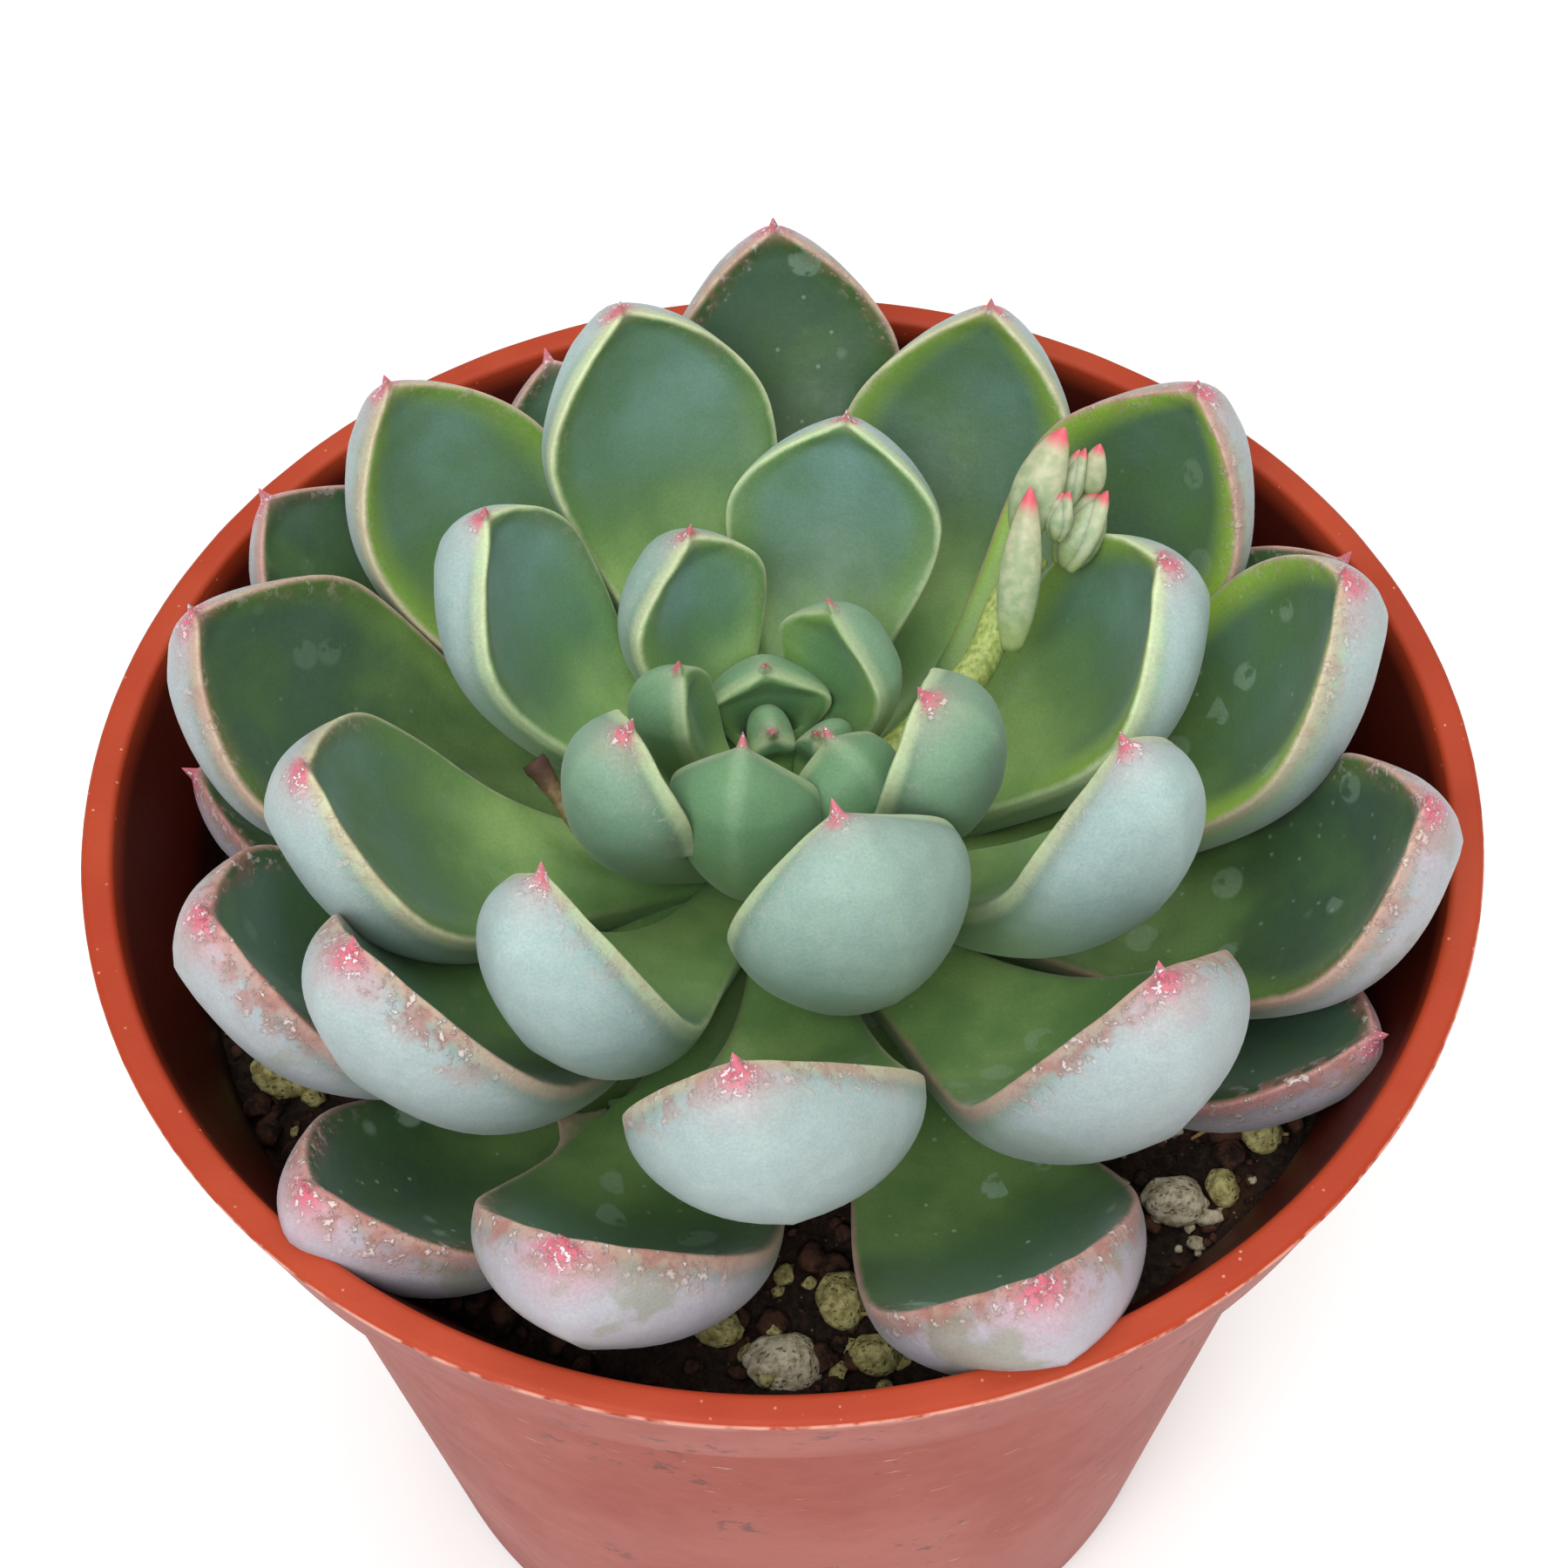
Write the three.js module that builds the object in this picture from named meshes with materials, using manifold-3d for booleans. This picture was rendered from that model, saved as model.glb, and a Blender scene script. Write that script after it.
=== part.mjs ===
// A rosette succulent (an echeveria) growing in a round plastic nursery pot.
// Millimetres, +Z up. The origin is the centre of the pot's base.

import * as THREE from "three";
import { mergeVertices } from "three/addons/utils/BufferGeometryUtils.js";
import Module from "manifold-3d";

const wasm = await Module();
wasm.setup();

// ---------------------------------------------------------------- driving dimensions

const GAP = 0.3; // kept between any two touching pieces

// Pot
const POT_HEIGHT = 78;
const RIM_RADIUS = 45; // outside of the lip
const LIP_WIDTH = 2.1; // flat top of the lip
const LIP_ROUNDING = 0.5;
const COLLAR_HEIGHT = 9;
const COLLAR_DRAFT = 2; // how much the collar narrows over its height
const COLLAR_STEP = 2.8; // from the collar in to the body
const BODY_DRAFT_DEG = 7;
const POT_WALL = 0.9;
const POT_FLOOR = 1.4;
const BASE_ROUNDING = 0.8;
const POT_SEGMENTS = 40;

// Soil
const SOIL_BELOW_RIM = 13;
const SOIL_UNEVENNESS = 0.45;
const SOIL_RINGS = 4;
const SOIL_SEGMENTS = 28;
const SOCKET_DEPTH = 3.5; // the hole in the soil that the stem stands in
const GRANULE_ROUGHNESS = 0.12; // how far a pumice granule's surface leaves an ellipsoid

// Stem, with heights above the soil
const STEM_RADIUS = 5.6;
const STEM_TOP_RADIUS = 3.1;
const STEM_SHOULDER = 2.5;
const STEM_HEIGHT = 10.4;
const STEM_BEVEL = 1;
const STEM_SEGMENTS = 20;

// Leaves
const LEAF_THICKNESS = 4.6;
const CORE_LEAF_THICKNESS = 3.6;
const LEAF_BASE_THICKNESS = 2.3;
const LEAF_NECK = 0.3; // base width as a share of the full width
const LEAF_WIDEST = 0.73; // where along its length a leaf is widest
const LEAF_FULL = 0.6; // where along its length a leaf reaches its full thickness and cup
const LEAF_UPPER_SHARE = 0.22; // of the thickness, above the centre line
const LEAF_CUP = 0.31; // how far the edges rise, as a share of the half width
const NECK_POWER = 2.8; // above 1 holds the neck narrow for longer
const TIP_POWER = 0.72; // 0.5 is a round tip, 1 a pointed one
const THINNING_POWER = 2.4; // above 1 keeps the leaf thick until near its tip
const THIN_TIP_POWER = 0.55;
const LEAF_BEND_POWER = 1.7; // above 1 keeps the base straight and curls the tip
const LEAF_ROOT_DEPTH = 0.8; // how far a leaf's base reaches into the stem before it is fitted
const WALL_CLEARANCE = 1.2; // from the widest rosette leaf tip to the inside of the lip
const LOWEST_LEAF_BASE = 4.4; // above the soil
const HIGHEST_LEAF_BASE = 9.8;
const SPINE_STEPS = 48;
const LEAF_RINGS = 9;
const LEAF_SIDES = 8;

// Flower stalks
const STALK_RADIUS = 1.1;
const STUB_RADIUS = 0.85;
const STALK_STEPS = 9;
const STALK_ARC_SIDES = 4; // per half turn
const BUD_SIDES = 9;

// ---------------------------------------------------------------- derived sizes

const SOIL_TOP = POT_HEIGHT - SOIL_BELOW_RIM;
const LIP_INNER_RADIUS = RIM_RADIUS - LIP_WIDTH;
const COLLAR_BOTTOM_RADIUS = RIM_RADIUS - COLLAR_DRAFT;
const BODY_TOP_RADIUS = COLLAR_BOTTOM_RADIUS - COLLAR_STEP;
const BODY_SLOPE = Math.tan(THREE.MathUtils.degToRad(BODY_DRAFT_DEG));
const BASE_RADIUS = BODY_TOP_RADIUS - (POT_HEIGHT - COLLAR_HEIGHT) * BODY_SLOPE;
const ROSETTE_REACH = LIP_INNER_RADIUS - WALL_CLEARANCE;

// Inside radius of the pot's wall at a height above the base.
function innerRadius(height) {
  const step = POT_HEIGHT - COLLAR_HEIGHT;
  const belowLip = BODY_TOP_RADIUS - POT_WALL;
  if (height < step) return belowLip - (step - height) * BODY_SLOPE;
  return THREE.MathUtils.mapLinear(height, step, POT_HEIGHT, belowLip, LIP_INNER_RADIUS);
}

// ---------------------------------------------------------------- materials

const material = (color, roughness) =>
  new THREE.MeshStandardMaterial({ color, roughness, metalness: 0 });

const MATERIALS = {
  pot: material(0xb5563c, 0.55),
  soil: material(0x35241b, 0.95),
  granule: material(0xb9ae8a, 0.9),
  stem: material(0x8a9a5a, 0.7),
  core: material(0x6f9a74, 0.5),
  inner: material(0x86ab93, 0.5),
  middle: material(0x87a898, 0.5),
  outer: material(0x5f7f5c, 0.5),
  bud: material(0xc3cf9f, 0.55),
  stub: material(0x7b5f3c, 0.8),
};

// ---------------------------------------------------------------- the plant's pieces

// Leaves from the heart outwards. Azimuth is in degrees from +X. Reach is the tip's
// distance from the stem's axis as a share of the rosette's reach. Tip height is above
// the soil. Curl is how much the leaf bends up from base to tip, twist turns it about its
// own length, and sway carries the tip sideways.
const LEAVES = [
  // group, azimuth, reach, tip height, width, curl, twist, sway
  ["core", 100, 0.055, 14.8, 2.8, 70, 0, 0],
  ["core", 45, 0.07, 15.2, 2.2, 45, 0, 0],
  ["core", -48, 0.094, 22, 7.5, 85, 0, 0],
  ["core", -103, 0.135, 24.6, 9.5, 95, 5, -1],
  ["core", 158, 0.17, 21, 5, 45, 10, -0.5],
  ["core", 98, 0.158, 16.8, 8, 70, 0, 0],
  ["core", 50, 0.22, 20, 8.5, 60, -5, 3.5],
  ["inner", -25, 0.24, 29.5, 10.4, 68, 5, -2],
  ["inner", -146, 0.26, 27.5, 9.8, 70, -10, 0.5],
  ["inner", 122, 0.35, 22.5, 10.5, 65, 10, -2.5],
  ["inner", -71, 0.35, 30, 15.5, 120, 15, -2],
  ["inner", 153, 0.53, 26, 14, 80, 10, -2.5],
  ["inner", -33, 0.54, 31.5, 12.4, 105, -22, 1],
  ["inner", 78, 0.56, 23.5, 14.5, 75, 0, 0],
  ["inner", -117, 0.56, 31.5, 13.2, 108, -22, -3],
  ["middle", 14, 0.61, 25.5, 17, 90, -10, 1.5],
  ["middle", 108, 0.68, 30, 16.5, 85, 15, 1],
  ["middle", -161, 0.71, 28.5, 16.5, 80, -5, 0],
  ["middle", -86, 0.76, 31.5, 17, 105, 5, -5],
  ["middle", -52, 0.77, 28, 17.5, 120, -5, 1],
  ["middle", -131, 0.77, 28, 16.5, 105, -5, -4],
  ["middle", 65, 0.86, 24, 16.5, 95, 5, 0],
  ["outer", 5, 0.85, 27, 17.5, 100, -5, 1.5],
  ["outer", 39, 0.86, 26, 17.5, 100, 5, -0.5],
  ["outer", -150, 0.9, 23, 17.5, 95, -10, -3.5],
  ["outer", 88, 0.92, 26.5, 17.5, 90, 10, 1],
  ["outer", 171, 0.89, 25, 18.5, 80, -10, 0.5],
  ["outer", 135, 0.87, 25, 17, 80, 5, 0.5],
  ["outer", -104, 0.95, 22.5, 17, 105, 0, -3],
  ["outer", -15, 0.96, 24, 17.5, 100, 10, -0.5],
  ["outer", 148, 0.99, 18, 17, 65, -5, 0],
  ["outer", 21, 0.99, 17, 15, 65, 0, 0],
  ["outer", 114, 0.97, 16, 15, 65, 0, 0],
  ["outer", 174, 0.96, 10, 15, 50, 0, 0],
  ["outer", -30, 1, 12, 15, 65, 0, 1],
  ["outer", -66, 1, 20.5, 17.5, 110, 0, -4],
  ["outer", -126, 1, 17.5, 15, 100, -10, -4],
];

// The young flower stalk, as points from the stem outwards: [x, y, height above the soil].
const STALK_PATH = [[3, 1.5, 8], [9, 4, 12], [12.9, 6.5, 15.5], [15, 10, 18.5], [17, 12.4, 20]];

// Bracts and flower buds on the young stalk: name, base, tip, width.
const BUDS = [
  ["bract_low", [15.2, 6.9, 17], [16.4, 13, 26], 2.7],
  ["bract_high", [16, 13, 21], [18.7, 16.4, 27.8], 3.4],
  ["bract_side", [20.6, 15.2, 22.6], [21, 15.8, 26.8], 1.8],
  ["bud_right", [19, 12.2, 19], [21.5, 14.9, 23.6], 3.4],
  ["bud_top", [18.9, 14.4, 22.4], [20, 16, 26.4], 1.9],
  ["bud_left", [18.2, 12.2, 21.8], [18.8, 13.4, 25.2], 1.9],
];

// The stub of an old flower stalk that was cut off.
const STUB_PATH = [[-4, -1.5, 5.5], [-8.5, -3, 9.5], [-12.5, -3.2, 12], [-15.9, 0.2, 15]];

// Pumice granules that lie on the soil: [x, y, length, width, height].
const GRANULES = [
  [-0.3, -35.4, 4.6, 3.4, 2.6],
  [3.2, -31.4, 2.9, 3.4, 2.6],
  [5.2, -35, 3, 2.4, 2],
  [24.4, -25.2, 4, 3, 2.4],
  [30.2, -20.4, 2.7, 3, 2.4],
  [-4.4, -33, 3, 2.2, 1.8],
  [-32.4, -14.2, 4.2, 3.4, 2.4],
  [27.4, -24.2, 2, 2.4, 1.8],
];

// ---------------------------------------------------------------- solids

function toSolid(geometry) {
  const bare = new THREE.BufferGeometry();
  bare.setAttribute("position", geometry.attributes.position);
  bare.setIndex(geometry.index);
  const merged = mergeVertices(bare, 1e-4);
  const vertProperties = new Float32Array(merged.attributes.position.array);
  const triVerts = new Uint32Array(merged.index.array);
  return new wasm.Manifold(new wasm.Mesh({ numProp: 3, vertProperties, triVerts }));
}

function toGeometry(solid) {
  const { vertProperties, triVerts } = solid.getMesh();
  const geometry = new THREE.BufferGeometry();
  geometry.setAttribute("position", new THREE.BufferAttribute(vertProperties, 3));
  geometry.setIndex(new THREE.BufferAttribute(triVerts, 1));
  geometry.computeVertexNormals();
  return geometry;
}

// A lathe about Z from [radius, height] points that start and end on the axis.
function lathe(points, segments) {
  const profile = points.map(([radius, height]) => new THREE.Vector2(radius, height));
  return new THREE.LatheGeometry(profile, segments).rotateX(Math.PI / 2);
}

function mesh(name, geometry, look) {
  const piece = new THREE.Mesh(geometry, look);
  piece.name = name;
  return piece;
}

// ---------------------------------------------------------------- pot

// `gap` thickens the pot inwards, for fitting the leaves to it.
function potGeometry(gap = 0) {
  const step = POT_HEIGHT - COLLAR_HEIGHT;
  const floor = POT_FLOOR + gap;
  return lathe([
    [0, 0],
    [BASE_RADIUS - BASE_ROUNDING, 0],
    [BASE_RADIUS, BASE_ROUNDING],
    [BODY_TOP_RADIUS, step],
    [COLLAR_BOTTOM_RADIUS, step],
    [RIM_RADIUS, POT_HEIGHT - LIP_ROUNDING],
    [RIM_RADIUS - LIP_ROUNDING, POT_HEIGHT + gap],
    [LIP_INNER_RADIUS - gap + LIP_ROUNDING, POT_HEIGHT + gap],
    [LIP_INNER_RADIUS - gap, POT_HEIGHT - LIP_ROUNDING],
    [innerRadius(step) - gap, step],
    [innerRadius(floor) - gap, floor],
    [0, floor],
  ], POT_SEGMENTS);
}

// ---------------------------------------------------------------- soil

// Height of the soil's surface: two crossing swells.
function soilHeight(x, y) {
  const swell = Math.sin(x / 6 + 1) * Math.cos(y / 7) + 0.5 * Math.sin((x + y) / 4);
  return SOIL_TOP + SOIL_UNEVENNESS * swell;
}

// `gap` raises the surface, for fitting the leaves to it.
function soilGeometry(gap = 0) {
  const socket = STEM_RADIUS + GAP;
  const floor = POT_FLOOR + GAP;
  const edge = innerRadius(SOIL_TOP) - 2 * GAP;
  const profile = [[0, floor], [innerRadius(floor) - GAP, floor], [edge, SOIL_TOP]];
  for (let ring = SOIL_RINGS - 1; ring >= 0; ring--) {
    profile.push([THREE.MathUtils.lerp(socket, edge, ring / SOIL_RINGS), SOIL_TOP]);
  }
  profile.push([socket, SOIL_TOP - SOCKET_DEPTH - GAP], [0, SOIL_TOP - SOCKET_DEPTH - GAP]);
  const geometry = lathe(profile, SOIL_SEGMENTS);
  const position = geometry.attributes.position;
  for (let i = 0; i < position.count; i++) {
    if (Math.abs(position.getZ(i) - SOIL_TOP) > 1e-3) continue;
    position.setZ(i, soilHeight(position.getX(i), position.getY(i)) + gap);
  }
  return geometry;
}

// A rounded stone of three unequal axes, with facets that lean a little.
function granuleGeometry(length, width, height, gap = 0) {
  const geometry = new THREE.IcosahedronGeometry(0.5, 1);
  const position = geometry.attributes.position;
  const point = new THREE.Vector3();
  for (let i = 0; i < position.count; i++) {
    point.fromBufferAttribute(position, i);
    const lean = Math.sin(9 * point.x + 5 * point.y) * Math.cos(7 * point.z);
    point.multiplyScalar(1 + GRANULE_ROUGHNESS * lean);
    point.multiply(new THREE.Vector3(length + 2 * gap, width + 2 * gap, height + 2 * gap));
    position.setXYZ(i, point.x, point.y, point.z);
  }
  return mergeVertices(geometry.deleteAttribute("normal").deleteAttribute("uv"), 1e-4);
}

// ---------------------------------------------------------------- stem and stalks

function stemRadius(height) {
  const share = THREE.MathUtils.clamp((height - STEM_SHOULDER) / (STEM_HEIGHT - STEM_SHOULDER), 0, 1);
  return THREE.MathUtils.lerp(STEM_RADIUS, STEM_TOP_RADIUS, share);
}

function stemGeometry(gap = 0) {
  return lathe([
    [0, SOIL_TOP - SOCKET_DEPTH],
    [STEM_RADIUS + gap, SOIL_TOP - SOCKET_DEPTH],
    [STEM_RADIUS + gap, SOIL_TOP + STEM_SHOULDER],
    [STEM_TOP_RADIUS + gap, SOIL_TOP + STEM_HEIGHT - STEM_BEVEL],
    [STEM_TOP_RADIUS / 2 + gap, SOIL_TOP + STEM_HEIGHT + gap],
    [0, SOIL_TOP + STEM_HEIGHT + gap],
  ], STEM_SEGMENTS);
}

// A round tube along points given above the soil.
function tubeGeometry(path, radius, gap = 0) {
  const points = path.map(([x, y, height]) => new THREE.Vector3(x, y, SOIL_TOP + height));
  const circle = new THREE.Shape().absarc(0, 0, radius + gap, 0, 2 * Math.PI);
  return new THREE.ExtrudeGeometry(circle, {
    steps: STALK_STEPS,
    curveSegments: STALK_ARC_SIDES,
    bevelEnabled: false,
    extrudePath: new THREE.CatmullRomCurve3(points),
  });
}

// A pointed pod from its base to its tip, both given above the soil. Its outline is in
// shares of the width and the length.
function podGeometry(base, tip, width, gap = 0) {
  const from = new THREE.Vector3(...base);
  const along = new THREE.Vector3(...tip).sub(from);
  const length = along.length();
  const outline = [[0.45, 0], [0.85, 0.15], [1, 0.4], [0.75, 0.75], [0.4, 0.92]];
  const points = outline.map(([w, l]) => [w * width / 2 + gap, l * length]);
  const geometry = lathe([[0, -gap], ...points, [0, length + gap]], BUD_SIDES);
  geometry.applyQuaternion(
    new THREE.Quaternion().setFromUnitVectors(new THREE.Vector3(0, 0, 1), along.normalize()));
  return geometry.translate(from.x, from.y, SOIL_TOP + from.z);
}

// ---------------------------------------------------------------- leaf

// The leaf's centre line in its own upright plane: outward distance, height and slope at
// equal steps. The slope grows by `curl` along the leaf, faster towards the tip, and the
// whole line is turned and scaled so that it runs from the leaf's base to its tip.
function leafSpine(baseRadius, baseHeight, tipRadius, tipHeight, curl) {
  const line = [{ out: 0, up: 0, slope: 0 }];
  for (let step = 1; step <= SPINE_STEPS; step++) {
    const middle = curl * ((step - 0.5) / SPINE_STEPS) ** LEAF_BEND_POWER;
    const last = line[step - 1];
    line.push({
      out: last.out + Math.cos(middle),
      up: last.up + Math.sin(middle),
      slope: curl * (step / SPINE_STEPS) ** LEAF_BEND_POWER,
    });
  }
  const end = line[SPINE_STEPS];
  const chord = Math.hypot(tipRadius - baseRadius, tipHeight - baseHeight);
  const scale = chord / Math.hypot(end.out, end.up);
  const turn = Math.atan2(tipHeight - baseHeight, tipRadius - baseRadius) - Math.atan2(end.up, end.out);
  return line.map(({ out, up, slope }) => ({
    out: baseRadius + scale * (out * Math.cos(turn) - up * Math.sin(turn)),
    up: baseHeight + scale * (out * Math.sin(turn) + up * Math.cos(turn)),
    slope: slope + turn,
  }));
}

// Half width at a share t of the leaf's length: a narrow neck that widens to a rounded,
// bluntly pointed end.
function leafHalfWidth(width, t) {
  const rise = Math.sin(Math.PI / 2 * Math.min(t / LEAF_WIDEST, 1)) ** NECK_POWER;
  const fall = Math.max(0, (t - LEAF_WIDEST) / (1 - LEAF_WIDEST));
  return width / 2 * THREE.MathUtils.lerp(LEAF_NECK, 1, rise) * (1 - fall ** 2) ** TIP_POWER;
}

// Thickness at t: thin at the base, full from LEAF_FULL, then thinning to the tip.
function leafThickness(thickness, t) {
  const swell = Math.sin(Math.PI / 2 * Math.min(t / LEAF_FULL, 1));
  const fall = Math.max(0, (t - LEAF_FULL) / (1 - LEAF_FULL));
  const full = THREE.MathUtils.lerp(Math.min(LEAF_BASE_THICKNESS, thickness), thickness, swell);
  return full * (1 - fall ** THINNING_POWER) ** THIN_TIP_POWER;
}

// A closed leaf: rings around the centre line, with a flat base and a pointed tip.
// `gap` grows it on all sides, for fitting other leaves to it.
function leafGeometry([group, azimuth, reach, tipHeight, width, curl, twist, sway], gap = 0) {
  const inwards = 1 - reach;
  const baseHeight = THREE.MathUtils.lerp(LOWEST_LEAF_BASE, HIGHEST_LEAF_BASE, inwards);
  const baseRadius = stemRadius(baseHeight) - LEAF_ROOT_DEPTH;
  const thickness = group === "core" ? CORE_LEAF_THICKNESS : LEAF_THICKNESS;
  const spine = leafSpine(
    baseRadius, baseHeight, reach * ROSETTE_REACH, tipHeight, THREE.MathUtils.degToRad(curl));
  const direction = THREE.MathUtils.degToRad(azimuth);
  const positions = [];
  const place = (out, side, up) => positions.push(
    out * Math.cos(direction) - side * Math.sin(direction),
    out * Math.sin(direction) + side * Math.cos(direction),
    SOIL_TOP + up);

  for (let ring = 0; ring < LEAF_RINGS; ring++) {
    const step = Math.round(SPINE_STEPS * Math.sin(Math.PI / 2 * ring / LEAF_RINGS));
    const t = step / SPINE_STEPS;
    const { out, up, slope } = spine[step];
    const halfWidth = leafHalfWidth(width, t) + gap;
    const deep = leafThickness(thickness, t);
    const cup = LEAF_CUP * Math.sin(Math.PI / 2 * Math.min(t / LEAF_FULL, 1)) ** 2;
    const roll = THREE.MathUtils.degToRad(twist) * t;
    for (let side = 0; side < LEAF_SIDES; side++) {
      const angle = 2 * Math.PI * side / LEAF_SIDES;
      const across = halfWidth * Math.cos(angle);
      const share = Math.sin(angle) > 0 ? LEAF_UPPER_SHARE : 1 - LEAF_UPPER_SHARE;
      const rise = (share * deep + gap) * Math.sin(angle) + cup * halfWidth * Math.cos(angle) ** 2;
      const sideways = across * Math.cos(roll) - rise * Math.sin(roll);
      const normal = across * Math.sin(roll) + rise * Math.cos(roll);
      place(out - normal * Math.sin(slope), sideways + sway * t * t, up + normal * Math.cos(slope));
    }
  }
  const tip = spine[SPINE_STEPS];
  place(tip.out + gap * Math.cos(tip.slope), sway, tip.up + gap * Math.sin(tip.slope));
  place(spine[0].out, 0, spine[0].up);

  const tipIndex = LEAF_RINGS * LEAF_SIDES;
  const index = [];
  for (let side = 0; side < LEAF_SIDES; side++) {
    const next = (side + 1) % LEAF_SIDES;
    index.push(tipIndex + 1, next, side);
    for (let ring = 0; ring < LEAF_RINGS - 1; ring++) {
      const a = ring * LEAF_SIDES + side;
      const b = ring * LEAF_SIDES + next;
      index.push(a, b, b + LEAF_SIDES, a, b + LEAF_SIDES, a + LEAF_SIDES);
    }
    const last = (LEAF_RINGS - 1) * LEAF_SIDES;
    index.push(last + side, last + next, tipIndex);
  }
  const geometry = new THREE.BufferGeometry();
  geometry.setAttribute("position", new THREE.Float32BufferAttribute(positions, 3));
  geometry.setIndex(index);
  return geometry;
}

// ---------------------------------------------------------------- fitting pieces together

function boxesMeet(a, b) {
  const p = a.boundingBox();
  const q = b.boundingBox();
  return [0, 1, 2].every((axis) => p.min[axis] < q.max[axis] && q.min[axis] < p.max[axis]);
}

// The largest body of a solid, without any offcuts.
function largestBody(solid) {
  return solid.decompose().reduce((a, b) => (a.volume() > b.volume() ? a : b));
}

// Cuts a piece back from every grown neighbour it meets, as crowded leaves press each
// other's flesh back.
function fitted(geometry, neighbours) {
  let solid = toSolid(geometry);
  for (const neighbour of neighbours) {
    if (boxesMeet(solid, neighbour)) solid = solid.subtract(neighbour);
  }
  return largestBody(solid);
}

// ---------------------------------------------------------------- assembly

const plant = new THREE.Group();
const neighbours = [toSolid(potGeometry(GAP)), toSolid(soilGeometry(GAP)), toSolid(stemGeometry(GAP))];

// Adds a piece cut back from all earlier ones, and keeps its grown form for later pieces.
function addFitted(name, look, makeGeometry) {
  plant.add(mesh(name, toGeometry(fitted(makeGeometry(0), neighbours)), look));
  neighbours.push(toSolid(makeGeometry(GAP)));
}

plant.add(mesh("stem", stemGeometry(), MATERIALS.stem));

GRANULES.forEach(([x, y, length, width, height], i) => {
  const rest = soilHeight(x, y) + height / 2 + GAP;
  addFitted(`pumice_${i + 1}`, MATERIALS.granule,
    (gap) => granuleGeometry(length, width, height, gap).translate(x, y, rest));
});

addFitted("flower_stalk", MATERIALS.bud, (gap) => tubeGeometry(STALK_PATH, STALK_RADIUS, gap));
for (const [name, base, tip, width] of BUDS) {
  addFitted(name, MATERIALS.bud, (gap) => podGeometry(base, tip, width, gap));
}
addFitted("cut_stalk", MATERIALS.stub, (gap) => tubeGeometry(STUB_PATH, STUB_RADIUS, gap));

const count = {};
for (const leaf of LEAVES) {
  const group = leaf[0];
  count[group] = (count[group] ?? 0) + 1;
  addFitted(`${group}_leaf_${count[group]}`, MATERIALS[group], (gap) => leafGeometry(leaf, gap));
}

const pottedSucculent = new THREE.Group();
pottedSucculent.add(mesh("pot", potGeometry(), MATERIALS.pot));
pottedSucculent.add(mesh("soil", soilGeometry(), MATERIALS.soil));
pottedSucculent.add(plant);

export default pottedSucculent;
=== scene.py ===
# The visual model of a potted rosette succulent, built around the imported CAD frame.
# Lengths are in millimetres and become metres where a piece is made. Only the lights and the
# floor are placed in metres.

import math
import random

import bmesh
import bpy
import numpy as np
from mathutils import Matrix, Vector, noise
from mathutils.bvhtree import BVHTree


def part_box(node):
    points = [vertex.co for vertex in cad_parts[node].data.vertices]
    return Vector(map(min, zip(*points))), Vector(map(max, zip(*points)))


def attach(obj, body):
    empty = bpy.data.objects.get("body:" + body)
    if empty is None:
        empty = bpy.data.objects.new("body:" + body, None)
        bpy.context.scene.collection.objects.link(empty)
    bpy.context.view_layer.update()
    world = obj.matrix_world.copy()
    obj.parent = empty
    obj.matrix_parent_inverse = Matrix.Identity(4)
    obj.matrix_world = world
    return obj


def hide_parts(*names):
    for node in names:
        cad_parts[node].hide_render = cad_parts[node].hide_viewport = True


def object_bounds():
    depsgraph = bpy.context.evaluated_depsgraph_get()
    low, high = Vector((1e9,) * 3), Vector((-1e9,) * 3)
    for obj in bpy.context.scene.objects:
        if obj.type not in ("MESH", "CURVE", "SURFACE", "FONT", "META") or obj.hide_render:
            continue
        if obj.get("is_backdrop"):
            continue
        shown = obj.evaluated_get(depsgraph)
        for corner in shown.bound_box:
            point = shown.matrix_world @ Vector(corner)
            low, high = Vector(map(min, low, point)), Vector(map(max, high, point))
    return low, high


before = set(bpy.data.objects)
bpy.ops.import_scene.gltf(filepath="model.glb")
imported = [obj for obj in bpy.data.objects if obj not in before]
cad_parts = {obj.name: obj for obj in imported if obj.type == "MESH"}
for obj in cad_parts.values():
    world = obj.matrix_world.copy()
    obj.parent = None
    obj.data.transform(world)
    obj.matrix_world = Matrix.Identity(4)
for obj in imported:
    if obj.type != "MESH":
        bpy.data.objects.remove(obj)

MM = 0.001
CAD_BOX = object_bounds()


def top_of(node):
    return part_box(node)[1].z / MM


# ------------------------ sizes, as in the CAD source

RIM_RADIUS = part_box("pot")[1].x / MM
POT_HEIGHT = top_of("pot")
LIP_WIDTH = 2.1
LIP_ROUNDING = 0.5
COLLAR_HEIGHT = 9
COLLAR_DRAFT = 2
COLLAR_STEP = 2.8
BODY_DRAFT = math.radians(7)
POT_WALL = 0.9
POT_FLOOR = 1.4

SOIL_BELOW_RIM = 13
SOIL_TOP = POT_HEIGHT - SOIL_BELOW_RIM
SOIL_UNEVENNESS = 0.45
SOCKET_DEPTH = 3.5

STEM_RADIUS = 5.6
STEM_TOP_RADIUS = 3.1
STEM_SHOULDER = 2.5
STEM_HEIGHT = top_of("stem") - SOIL_TOP

LEAF_THICKNESS = {"core": 3.6, "inner": 4.6, "middle": 4.6, "outer": 4.6}
LEAF_BASE_THICKNESS = 2.3
LEAF_NECK = 0.3
NECK_POWER = 2.8
LEAF_WIDEST = 0.73
LEAF_FULL = 0.6
LEAF_CUP = 0.31
LEAF_BEND_POWER = 1.7
LEAF_ROOT_DEPTH = 0.8
WALL_CLEARANCE = 1.2
LOWEST_LEAF_BASE = 4.4
HIGHEST_LEAF_BASE = 9.8

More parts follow.
